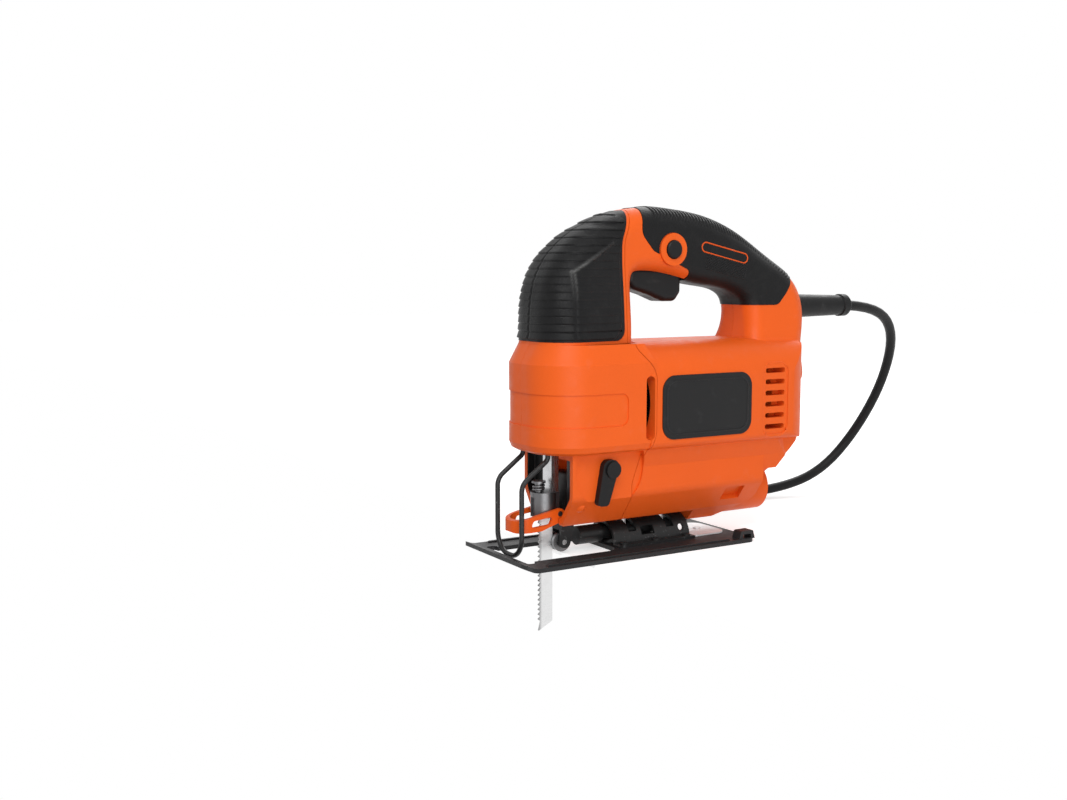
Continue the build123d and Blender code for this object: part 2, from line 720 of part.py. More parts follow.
FRONT_BEARING_X = CASE_REAR - BEARING_WIDE
PARTS["front_bearing"] = bearing(FRONT_BEARING_X)
PARTS["rear_bearing"] = bearing(REAR_BEARING_X)
brush = block(
    BRUSH_X - BRUSH_HALF, BRUSH_X + BRUSH_HALF, COMMUTATOR_R + 0.1, 24.0, MOTOR_Z - BRUSH_HALF,
    MOTOR_Z + BRUSH_HALF)
holder = block(
    BRUSH_X - HOLDER_HALF, BRUSH_X + HOLDER_HALF, 12.6, 29.0, MOTOR_Z - HOLDER_HALF,
    MOTOR_Z + HOLDER_HALF)
holder = holder - block(
    BRUSH_X - BRUSH_HALF, BRUSH_X + BRUSH_HALF, 12.0, 27.5, MOTOR_Z - BRUSH_HALF, MOTOR_Z + BRUSH_HALF)
PARTS["carbon_brushes"] = Compound([brush, mirror(brush, Plane.XZ)])
PARTS["brush_holders"] = Compound([holder, mirror(holder, Plane.XZ)])

# Gear case plate, axle, drive gear and crank pin
case = nose(WALL + 1.0) & block(CASE_FRONT, CASE_REAR, -40, 40, NOSE_BOTTOM + 4.1, 126.5)
case = case - rod_x(BEARING_R + SEAT, FRONT_BEARING_X, CASE_REAR + 1, MOTOR_Z) - rod_x(
    6.0, CASE_FRONT - 1, CASE_REAR, MOTOR_Z)
case = case - rod_x(AXLE_R, CASE_FRONT - 1, CASE_REAR + 1, GEAR_Z)
ribs = [block(CASE_FRONT - 1, CASE_FRONT + 3.0, y - 5, y + 5, 72, 86) for y in (-22, 22)]
PARTS["gear_case"] = case - ribs
PARTS["gear_axle"] = rod_x(AXLE_R, GEAR_FRONT + 0.6, CASE_REAR, GEAR_Z)
gear_turn = -math.pi / 2 + math.pi / GEAR_TEETH
wheel = Pos(0, 0, GEAR_Z) * along_x(gear_face(GEAR_TEETH, gear_turn), GEAR_FRONT, GEAR_REAR)
wheel = wheel - rod_x(AXLE_R + RUN, GEAR_FRONT - 1, GEAR_REAR + 1, GEAR_Z)
web_ring = rod_x(
    17.0, GEAR_REAR - 2.0, GEAR_REAR + 1, GEAR_Z) - rod_x(7.0, GEAR_REAR - 3, GEAR_REAR + 2, GEAR_Z)
wheel = wheel - web_ring - rod_x(CRANK_PIN_R, GEAR_FRONT - 1, GEAR_FRONT + 4.0, GEAR_Z, CRANK_R)
PARTS["drive_gear"] = wheel
PARTS["crank_pin"] = rod_x(CRANK_PIN_R, YOKE_REAR + 0.5, GEAR_FRONT + 4.0, GEAR_Z, CRANK_R)

# Plunger with its cross slot, and the bushes that guide it
bar_x = (PLUNGER_X - PLUNGER_THICK / 2, PLUNGER_X + PLUNGER_THICK / 2)
bar_y = (-PLUNGER_WIDE / 2, PLUNGER_WIDE / 2)
bar = block(*bar_x, *bar_y, PLUNGER_BOTTOM, PLUNGER_TOP)
yoke = outline([
    (-YOKE_HALF_WIDE, GEAR_Z - YOKE_HALF_TALL, 3),
    (YOKE_HALF_WIDE, GEAR_Z - YOKE_HALF_TALL, 3),
    (YOKE_HALF_WIDE, GEAR_Z + YOKE_HALF_TALL, 3),
    (-YOKE_HALF_WIDE, GEAR_Z + YOKE_HALF_TALL, 3),
])
slot_half = CRANK_R + CRANK_PIN_R + 0.6
slot_tall = CRANK_PIN_R + 0.3
yoke_slot = outline([(-slot_half, GEAR_Z - slot_tall, 2.5), (slot_half, GEAR_Z - slot_tall, 2.5),
                     (slot_half, GEAR_Z + slot_tall, 2.5), (-slot_half, GEAR_Z + slot_tall, 2.5)])
yoke_body = along_x(yoke, YOKE_FRONT, YOKE_REAR) - along_x(yoke_slot, YOKE_FRONT + 2.0, YOKE_REAR + 1)
PARTS["plunger"] = bar + yoke_body


def bush(x0, x1, z0, z1):
    hole = block(bar_x[0] - RUN, bar_x[1] + RUN, bar_y[0] - RUN, bar_y[1] + RUN, z0 - 1, z1 + 1)
    return block(x0, x1, -BUSH_HALF, BUSH_HALF, z0, z1) - hole


PARTS["lower_bush"] = bush(-53.0, -38.0, NOSE_BOTTOM - 1.0, NOSE_BOTTOM + 10.0)
PARTS["upper_bush"] = bush(-51.5, -38.5, *UPPER_BUSH_Z)

# Blade clamp, its spring and lever, and the blade
pivot_x, pivot_z = LEVER_PIVOT
clamp = rod_z(CLAMP_R, CLAMP_BOTTOM, PLUNGER_BOTTOM, CLAMP_X)
clamp = clamp + block(CLAMP_X, bar_x[1], -6.0, 6.0, CLAMP_BOTTOM + 3.0, PLUNGER_BOTTOM)
clamp = clamp + rod_y(LEVER_PIN_R, -LEVER_IN - LEVER_THICK, LEVER_IN + LEVER_THICK, *LEVER_PIVOT)
blade_front = BLADE_BACK - BLADE_WIDE
clamp = clamp - block(
    blade_front - 0.2, BLADE_BACK + 0.2, -BLADE_THICK / 2, BLADE_THICK / 2, CLAMP_BOTTOM - 1, 37.0)
clamp = clamp - block(CLAMP_X - 9, CLAMP_X - 6.4, -2.2, 2.2, CLAMP_BOTTOM - 1, 36.0)
clamp = clamp + rod_z(2.2, PLUNGER_BOTTOM, 44.6, CLAMP_X - 3.4)
clamp = clamp + rod_z(4.2, 44.6, 45.8, CLAMP_X - 3.4)
PARTS["clamp_body"] = clamp
spring_path = Pos(CLAMP_X - 3.4, 0, PLUNGER_BOTTOM + 0.75) * Helix(pitch=1.75, height=4.0, radius=3.2)
spring_section = Plane(spring_path @ 0, z_dir=spring_path % 0) * Circle(0.62)
PARTS["clamp_spring"] = sweep(spring_section, path=spring_path)

tooth_count = int((20.0 - (BLADE_TIP + 4.0)) / TOOTH)
teeth = []
for i in range(tooth_count):
    z = 20.0 - TOOTH * i
    teeth.append((blade_front, z))
    teeth.append((blade_front + TOOTH_DEEP, z - TOOTH * 0.45))
blade_edge = [(blade_front + 0.6, 36.5)] + [(blade_front + 0.6, 21.0)] + teeth
blade_edge = blade_edge + [
    (blade_front + 0.4, BLADE_TIP),
    (BLADE_BACK, BLADE_TIP + 5.0),
    (BLADE_BACK, 36.5),
]
PARTS["blade"] = along_y(
    make_face(Polyline(*blade_edge, close=True)), -BLADE_THICK / 2, BLADE_THICK / 2)

lever_out = LEVER_IN + LEVER_THICK
lever_plan = outline([
    (-41.5, -lever_out, 0),
    (-74.5, -lever_out, 10.0),
    (-74.5, lever_out, 10.0),
    (-41.5, lever_out, 0),
])
lever_hole = outline([
    (-40.0, -LEVER_IN, 0),
    (-71.8, -LEVER_IN, 7.6),
    (-71.8, LEVER_IN, 7.6),
    (-40.0, LEVER_IN, 0),
])
lever_side = outline([
    (-41.5, 30.5, 3.6),
    (-41.5, 22.6, 3.6),
    (-58.0, 17.2, 6),
    (-76.0, 16.6, 3),
    (-76.0, 23.5, 3),
    (-62.0, 26.6, 8),
])
lever_slot = outline([(-65.5, 19.6, 1.4), (-52.0, 20.6, 1.4), (-50.0, 25.4, 1.4), (-63.5, 23.8, 1.4)])
lever = along_z(lever_plan - lever_hole, 10, 35) & along_y(lever_side, -20, 20)
lever = lever - along_y(lever_slot, -20, 20) - rod_y(LEVER_PIN_R + RUN, -20, 20, *LEVER_PIVOT)
PARTS["clamp_lever"] = lever

# Guide roller on its pendulum arm, and the selector
roller = rod_y(ROLLER_R, -ROLLER_HALF, ROLLER_HALF, roller_x, ROLLER_Z)
groove = rod_y(ROLLER_R + 1, -1.0, 1.0, roller_x, ROLLER_Z) - rod_y(
    ROLLER_GROOVE_R, -1.0, 1.0, roller_x, ROLLER_Z)
PARTS["guide_roller"] = roller - groove - rod_y(ROLLER_PIN_R + RUN, -9, 9, roller_x, ROLLER_Z)
ARM_IN = ROLLER_HALF + 0.5
ARM_OUT = ARM_IN + 2.2
PARTS["roller_pin"] = rod_y(ROLLER_PIN_R, -ARM_OUT, ARM_OUT, roller_x, ROLLER_Z)
hub_x, hub_z = PENDULUM_PIVOT
arm_side = outline([
    (hub_x - 3.9, hub_z + 4.5, 3.5),
    (roller_x - 3.6, ROLLER_Z - 3.6, 3.2),
    (roller_x + 3.6, ROLLER_Z - 3.6, 3.2),
    (roller_x + 6.5, ROLLER_Z + 8.0, 5.0),
    (hub_x + 4.2, hub_z + 4.5, 3.5),
])
arm = along_y(arm_side, -ARM_OUT, ARM_OUT)
arm_gap = block(-60, 0, -ARM_IN, ARM_IN, -5, ROLLER_Z + ROLLER_R + 1.2)
arm = arm - arm_gap - rod_y(
    PENDULUM_PIN_R + RUN, -20, 20, *PENDULUM_PIVOT) - rod_y(ROLLER_PIN_R, -20, 20, roller_x, ROLLER_Z)
PARTS["pendulum_arm"] = arm
PARTS["pendulum_pin"] = rod_y(PENDULUM_PIN_R, -15.5, 15.5, *PENDULUM_PIVOT)
sel_x, sel_z = SELECTOR
recess_y = -LOWER_HALF + RECESS
knob = outline([
    (sel_x - 11.0, 32.5, 2.6),
    (sel_x - 3.0, 32.5, 2.6),
    (sel_x + 6.0, sel_z + 6.0, 4.4),
    (sel_x - 6.0, sel_z + 6.0, 4.4),
])
selector = along_y(knob, recess_y - 4.4, recess_y - GAP)
selector = selector + rod_y(5.0, recess_y - 5.6, recess_y - 3.0, sel_x, sel_z)
selector = selector + rod_y(SELECTOR_SHAFT_R, recess_y - 3.0, -12.0, sel_x, sel_z)
flat = block(sel_x - 5, sel_x + 5, -17.0, -11.0, sel_z + 1.6, sel_z + 6)
PARTS["selector_lever"] = selector - flat

# Trigger, lock button and switch
trigger_side = outline([
    (5.2, 174.6, 1.0),
    (46.2, 174.6, 1.0),
    (46.2, 158.6, 4.0),
    (42.0, 153.0, 4.0),
    (33.0, 153.0, 6.0),
    (22.0, 157.2, 12.0),
    (10.0, 160.6, 4.0),
    (5.2, 165.0, 3.0),
])
trigger = along_y(trigger_side, -TRIGGER_HALF, TRIGGER_HALF)
trigger_rim = [e for e in trigger.edges() if abs(abs(e.center().Y) - TRIGGER_HALF) < 0.01]
PARTS["trigger"] = fillet([e for e in trigger_rim if e.center().Z < 168.0], TRIGGER_EDGE)
button = rod_y(BUTTON_R, -20.4, -11.8, *BUTTON)
button = chamfer(button.edges().sort_by(Axis.Y)[0], 0.8)
PARTS["lock_button"] = button + rod_y(6.8, -11.8, -11.3, *BUTTON)
PARTS["switch_body"] = block(
    13.0, 61.0, -SWITCH_HALF, SWITCH_HALF, 183.0, 199.5) - block(50, 62, -10, 10, 182, 187)

# Sole plate, bevel bracket, clamp bar and screws
half_long = SOLE_LONG / 2
half_wide = SOLE_WIDE / 2
sole = along_z(outline([
    (-half_long, -half_wide, SOLE_CORNER),
    (half_long, -half_wide, SOLE_CORNER),
    (half_long, half_wide, SOLE_CORNER),
    (-half_long, half_wide, SOLE_CORNER),
]), 0, SOLE_THICK + LIP_RISE)
lip = outline([
    (-half_long - 1, -1, 0),
    (-half_long - 1, LIP_RISE, 0),
    (-half_long + LIP_RUN, 0, 14),
    (half_long + 1, 0, 0),
    (half_long + 1, -1, 0),
])
lip_top = outline([
    (-half_long - 1, SOLE_THICK + LIP_RISE, 0),
    (-half_long + LIP_RUN, SOLE_THICK, 14),
    (half_long + 1, SOLE_THICK, 0),
    (half_long + 1, 20, 0),
    (-half_long - 1, 20, 0),
])
sole = sole - along_y(lip, -60, 60) - along_y(lip_top, -60, 60)
window = outline([
    (WINDOW_FRONT, -WINDOW_HALF, 2),
    (WINDOW_REAR, -WINDOW_HALF, 8),
    (WINDOW_REAR, WINDOW_HALF, 8),
    (WINDOW_FRONT, WINDOW_HALF, 2),
])
ear = outline([(WINDOW_FRONT, -WINDOW_EAR, 2), (EAR_REAR, -WINDOW_EAR, 2), (EAR_REAR, WINDOW_EAR, 2),
               (WINDOW_FRONT, WINDOW_EAR, 2)])
sole = sole - along_z(window, -5, 20) - along_z(ear, -5, 20)
sole = sole - [rod_z(5.2, -5, 20, x) for x in BEVEL_SCREWS]
bridge = outline([(BRIDGE_FRONT, SOLE_THICK - 0.4, 0), (BRIDGE_FRONT + 1.6, BRIDGE_TOP, 1.2),
                  (BRIDGE_REAR - 1.6, BRIDGE_TOP, 1.2), (BRIDGE_REAR, SOLE_THICK - 0.4, 0)])
bridge_slot = outline([(74.8, 2.2, 0), (75.4, 5.4, 0.8), (81.6, 5.4, 0.8), (82.2, 2.2, 0)])
for y0 in (-half_wide + 1.0, half_wide - BRIDGE_WIDE - 1.0):
    tunnel = along_y(bridge_slot, y0 - 1, y0 + BRIDGE_WIDE + 1.0)
    sole = sole + (along_y(bridge, y0, y0 + BRIDGE_WIDE) - tunnel)
rib_top = outline([
    (-70.0, SOLE_THICK, 0),
    (66.0, SOLE_THICK, 0),
    (64.0, SOLE_THICK + 1.0, 0),
    (-68.0, SOLE_THICK + 1.0, 0),
])
for y0 in (-half_wide + 2.2, half_wide - 4.2):
    sole = sole + along_y(rib_top, y0, y0 + 2.0)
PARTS["sole_plate"] = sole

dome_in = DOME_OUT - DOME_WALL
dome = rod_x(DOME_OUT, DOME_FRONT, DOME_REAR, BEVEL_Z) + block(
    DOME_FRONT, DOME_REAR, -DOME_OUT, DOME_OUT, SOLE_THICK, BEVEL_Z)
dome = dome - rod_x(dome_in, DOME_FRONT - 1, DOME_REAR + 1, BEVEL_Z) - block(
    DOME_FRONT - 1, DOME_REAR + 1, -dome_in, dome_in, 0, BEVEL_Z)
dome = dome & block(DOME_FRONT - 1, DOME_REAR + 1, -30, 30, SOLE_THICK, 40)
foot = block(DOME_FRONT, DOME_REAR, DOME_OUT - 0.9, DOME_FOOT, SOLE_THICK, SOLE_THICK + DOME_FOOT_THICK)
dome = dome + [foot, mirror(foot, Plane.XZ)]
slot_open = math.radians(BEVEL_DEGREES + 14.0)
wedge_half = 40 * math.tan(slot_open)
wedge_top = BEVEL_Z + 40
wedge = make_face(Polyline((0, BEVEL_Z), (-wedge_half, wedge_top), (wedge_half, wedge_top), close=True))
slot_half_wide = BEVEL_SCREW_R + 0.5
dome = dome - [along_x(wedge, x - slot_half_wide, x + slot_half_wide) for x in BEVEL_SCREWS]
stop_hole = block(14.0, 24.0, -30, 0, 7.5, 12.5)
PARTS["bevel_bracket"] = dome - stop_hole - rod_y(2.2, -30, 0, 45.0, 9.0)
rivet_head = rod_z(2.6, SOLE_THICK + DOME_FOOT_THICK, SOLE_THICK + DOME_FOOT_THICK + 1.1, 0)
rivet_spots = [(x, y) for x in (-2.0, 22.0, 46.0) for y in (-17.2, 17.2)]
PARTS["bracket_rivets"] = Compound([Pos(x, y, 0) * rivet_head for x, y in rivet_spots])
plate = outline([(53.5, -17.0, 2), (80.0, -17.0, 8), (80.0, 17.0, 8), (53.5, 17.0, 2)])
PARTS["fence_plate"] = along_z(plate, SOLE_THICK, SOLE_THICK + 0.8) - rod_z(2.6, 0, 10, 68.0)
PARTS["fence_screw"] = rod_z(2.5, SOLE_THICK, SOLE_THICK + 1.6, 68.0)

clamp_bar = rod_x(BAR_R, BAR_FRONT + 2, BAR_REAR, BAR_Z) + rod_x(
    BAR_NOSE_R, BAR_FRONT, WINDOW_REAR - 1.0, BAR_Z)
head_bottom = 6.9
head_top = 9.6
clamp_bar = clamp_bar - [rod_z(BEVEL_SCREW_R + SEAT, 0, 20, x) for x in BEVEL_SCREWS]
clamp_bar = clamp_bar - [rod_z(3.65, 0, head_top, x) for x in BEVEL_SCREWS]
PARTS["clamp_bar"] = clamp_bar
bevel_screws = [
    rod_z(BEVEL_SCREW_R, head_top, 25.5, x) + rod_z(3.6, head_bottom, head_top, x) for x in BEVEL_SCREWS]
PARTS["bevel_screws"] = Compound(bevel_screws)

# Wire finger guard
guard_points = [
    (GUARD_TOP_X, -GUARD_HALF, NOSE_BOTTOM + 3.0),
    (GUARD_TOP_X, -GUARD_HALF, 60.5),
    (-73.8, -GUARD_HALF, 47.0),
    (-73.8, -GUARD_HALF, 2.9),
]
guard_points = guard_points + [(x, -y, z) for x, y, z in reversed(guard_points)]
guard_path = FilletPolyline(*guard_points, radius=[4.0, 9.0, 12.5, 12.5, 9.0, 4.0])
guard_section = Plane(guard_path @ 0, z_dir=guard_path % 0) * Circle(WIRE_R)
PARTS["finger_guard"] = sweep(guard_section, path=guard_path)

# Housing screws, one group
screws = []
for x, z, reach in SCREWS:
    shank = rod_y(SCREW_R, -11.5, reach - 6.0, x, z)
    head = rod_y(SCREW_HEAD_R, reach - 6.0, reach - 3.6, x, z)
    drive = block(x - 2.0, x + 2.0, reach - 4.6, reach, z - 0.5, z + 0.5)
    screws.append(shank + head - drive)
PARTS["housing_screws"] = Compound(screws)

# Cord boot, cord, coil, tie and plug
boot = [
    (128.0, 0),
    (128.0, 7.6),
    (132.0, 7.6),
    (132.0, BOOT_NECK_R),
    (145.6, BOOT_NECK_R),
    (145.6, 7.9),
]
boot = boot + [
    (150.0, 7.9),
    (RELIEF_REAR - 7.0, 6.9),
    (RELIEF_REAR - 6.4, 7.7),
    (RELIEF_REAR - 1.4, 7.6),
]
boot = boot + [(RELIEF_REAR, 6.6), (RELIEF_REAR, 0)]
PARTS["cord_boot"] = spun_x(boot, RELIEF_Z) - rod_x(
    CORD_R + SEAT, RELIEF_REAR - BOOT_BORE, RELIEF_REAR + 1, RELIEF_Z)
lead_points = [
    (RELIEF_REAR - BOOT_BORE, 0.0, RELIEF_Z),
    (224.0, 0.0, RELIEF_Z),
    (258.0, 10.0, 130.0),
    (272.0, 32.0, 90.0),
    (266.0, 54.0, 48.0),
    (242.0, 66.0, 17.0),
    (204.0, 72.0, COIL_Z + 0.6),
    (158.0, COIL_Y - COIL_OUT, COIL_Z),
    (COIL_X + CORD_END_STRAIGHT, COIL_Y - COIL_OUT, COIL_Z),
]


def corner_radius(a, b, c):
    """Rounding for the middle point of a cord route."""
    go = Vector(*b) - Vector(*a)
    on = Vector(*c) - Vector(*b)
    half_turn = math.radians(go.get_angle(on)) / 2
    return 0.45 * min(go.length, on.length) / math.tan(half_turn)


lead_radii = [corner_radius(*lead_points[i:i + 3]) for i in range(len(lead_points) - 2)]
lead_path = FilletPolyline(*lead_points, radius=lead_radii)
lead_section = Plane(lead_path @ 0, z_dir=lead_path % 0) * Circle(CORD_R)
PARTS["cord_lead"] = sweep(lead_section, path=lead_path)
print("cord radii", [round(r, 1) for r in lead_radii])
print("lead length", round(lead_path.length, 1), "volume ratio",
      round(PARTS["cord_lead"].volume / (math.pi * CORD_R ** 2 * lead_path.length), 4))

# The coil winds in on the lower layer, climbs in half a turn and winds out above
coil_edges = [
    Line((COIL_X + CORD_END_STRAIGHT, COIL_Y - COIL_OUT, COIL_Z), (COIL_X, COIL_Y - COIL_OUT, COIL_Z))]
y_now = COIL_Y - COIL_OUT
radius = COIL_OUT
side = -1
for i in range(COIL_HALF_TURNS_LOW):
    y_next = y_now - side * 2 * radius
    reach = (COIL_X + side * radius, (y_now + y_next) / 2, COIL_Z)
    coil_edges.append(ThreePointArc((COIL_X, y_now, COIL_Z), reach, (COIL_X, y_next, COIL_Z)))
    y_now = y_next
    radius = radius - COIL_STEP / 2
    side = -side
# Half turn that climbs to the upper layer
y_next = y_now - side * 2 * radius
high_z = COIL_Z + COIL_CLIMB
climb_radius = math.hypot(y_next - y_now, COIL_CLIMB) / 2
climb_middle = (COIL_X + side * climb_radius, (y_now + y_next) / 2, COIL_Z + COIL_CLIMB / 2)
coil_edges.append(ThreePointArc((COIL_X, y_now, COIL_Z), climb_middle, (COIL_X, y_next, high_z)))
y_now = y_next
side = -side
radius = radius + COIL_STEP / 2
for i in range(COIL_HALF_TURNS_HIGH):
    y_next = y_now - side * 2 * radius
    reach = (COIL_X + side * radius, (y_now + y_next) / 2, high_z)
    coil_edges.append(ThreePointArc((COIL_X, y_now, high_z), reach, (COIL_X, y_next, high_z)))
    y_now = y_next
    radius = radius + COIL_STEP / 2
    side = -side
PLUG_X = COIL_X + 50.0
coil_edges.append(Line((COIL_X, y_now, high_z), (PLUG_X, y_now, high_z)))
coil_path = Wire(coil_edges)
coil_section = Plane(coil_path @ 0, z_dir=coil_path % 0) * Circle(CORD_R)
PARTS["cord_coil"] = sweep(coil_section, path=coil_path)
print(
    "coil length", round(coil_path.length, 1), "volume ratio",
    round(PARTS["cord_coil"].volume / (math.pi * CORD_R ** 2 * coil_path.length), 4), "end", y_now, side)
points = [coil_path @ (i / 1600) for i in range(1601)]
spacing = coil_path.length / 1600
least = 1e9
skip = int(4 * 2 * CORD_R / spacing)
for i in range(0, 1601, 2):
    for j in range(i + skip, 1601, 2):
        least = min(least, (points[i] - points[j]).length)
print("coil least gap to itself", round(least - 2 * CORD_R, 2))

# A tie strap round the bundle, and a two-pin plug lying beside it
tie_left = COIL_X - COIL_OUT
tie_core = outline([
    (tie_left - 0.1, COIL_Z, 0),
    (tie_left - 0.1 + COIL_STEP, high_z + 0.1, 0),
    (tie_left + 0.7 + 3 * COIL_STEP, high_z + 0.1, 0),
    (tie_left + 0.8 + 4 * COIL_STEP, high_z - 4.1, 0),
    (tie_left + 0.8 + 4 * COIL_STEP, COIL_Z, 0),
])
tie_hole = along_y(offset(tie_core, CORD_R + GAP), COIL_Y - 7.0, COIL_Y - 1.0)
PARTS["cord_tie"] = along_y(
    offset(tie_core, CORD_R + GAP + TIE_WALL), COIL_Y - 6.0, COIL_Y - 2.0) - tie_hole
plug_y = y_now
plug_z = high_z
plug_neck = [
    (0.0, 0.0),
    (0.0, 4.8),
    (18.0, 6.6),
    (18.0, 5.4),
    (20.0, 5.4),
    (20.0, 7.0),
    (26.0, 7.6),
    (26.0, 0.0),
]
neck = Pos(PLUG_X, plug_y, 0) * spun_x(plug_neck, plug_z)


def plug_section(x, half_w, half_h, corner):
    plane = Plane((x, plug_y, plug_z), x_dir=(0, 1, 0), z_dir=(1, 0, 0))
    return plane * RectangleRounded(2 * half_w, 2 * half_h, corner)


plug_front = PLUG_X + 24.0 + PLUG_LONG
plug_body = loft([
    plug_section(PLUG_X + 24.0, 8.5, 8.0, 6.0),
    plug_section(PLUG_X + 36.0, 13.5, 9.0, 7.0),
    plug_section(PLUG_X + 52.0, 17.6, 10.6, 9.0),
    plug_section(plug_front, 17.6, 11.0, 9.0),
])
pin_foot = plug_front + PIN_STANDOFF
roots = []
pins = []
for y in (plug_y - PIN_HALF_PITCH, plug_y + PIN_HALF_PITCH):
    roots.append(rod_x(PIN_ROOT_R, plug_front - PIN_ROOT_LONG, pin_foot, plug_z, y))
    pins.append(roots[-1] + rod_x(PIN_R, pin_foot, pin_foot + PIN_LONG, plug_z, y))
PARTS["plug_body"] = neck + plug_body - roots
PARTS["plug_pins"] = Compound(pins)
print("plug pins", plug_front, plug_y, plug_z)

# Write every part
for name, shape in PARTS.items():
    if not shape.is_valid:
        print("not valid", name)
    export_step(shape, "parts/" + name + ".step")
print(len(PARTS), "parts")
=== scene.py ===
import logging
import math
from dataclasses import dataclass
from enum import Enum

import bpy
import numpy as np
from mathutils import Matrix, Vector


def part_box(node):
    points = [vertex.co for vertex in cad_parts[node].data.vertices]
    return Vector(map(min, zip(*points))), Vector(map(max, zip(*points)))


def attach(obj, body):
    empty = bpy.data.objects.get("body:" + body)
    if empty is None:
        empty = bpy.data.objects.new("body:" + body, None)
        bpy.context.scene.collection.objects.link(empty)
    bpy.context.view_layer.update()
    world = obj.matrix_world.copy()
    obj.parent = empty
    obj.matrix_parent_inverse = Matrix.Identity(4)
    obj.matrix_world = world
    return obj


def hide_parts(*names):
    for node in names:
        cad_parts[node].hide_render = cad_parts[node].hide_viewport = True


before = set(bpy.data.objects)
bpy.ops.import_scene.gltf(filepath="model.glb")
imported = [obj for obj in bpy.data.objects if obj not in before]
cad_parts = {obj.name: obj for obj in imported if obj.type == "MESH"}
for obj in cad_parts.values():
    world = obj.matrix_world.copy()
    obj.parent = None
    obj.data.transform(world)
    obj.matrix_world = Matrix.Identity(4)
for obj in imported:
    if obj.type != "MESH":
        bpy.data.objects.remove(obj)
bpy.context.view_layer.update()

MM = 0.001
BESIDE = 80.0  # millimetres from the middle plane, outside the tool
NOISE_SPAN = (0.3, 0.7)  # where most values of the noise lie
HOUSING = "housing"  # body that every piece made here rides on
PAINTED_GLINT = "painted_glint"  # point attribute with the share of painted highlight: paler rubber standing in for the glint on the front grip's ridge and crease
log = logging.getLogger("jigsaw")


class Side(Enum):
    """Side of the tool, by the sign of Y."""

    LEFT = -1
    RIGHT = 1

    def out(self) -> np.ndarray:
        """Unit vector out of that side."""
        return np.array([0.0, float(self.value), 0.0])


class Lay(Enum):
    """Direction in which a metal was ground or drawn."""

    ALONG_X = (0.06, 1.0, 1.0)
    ALONG_Y = (1.0, 0.06, 1.0)
    ALONG_Z = (1.0, 1.0, 0.06)
    CAST = (1.0, 1.0, 1.0)


# Finishes


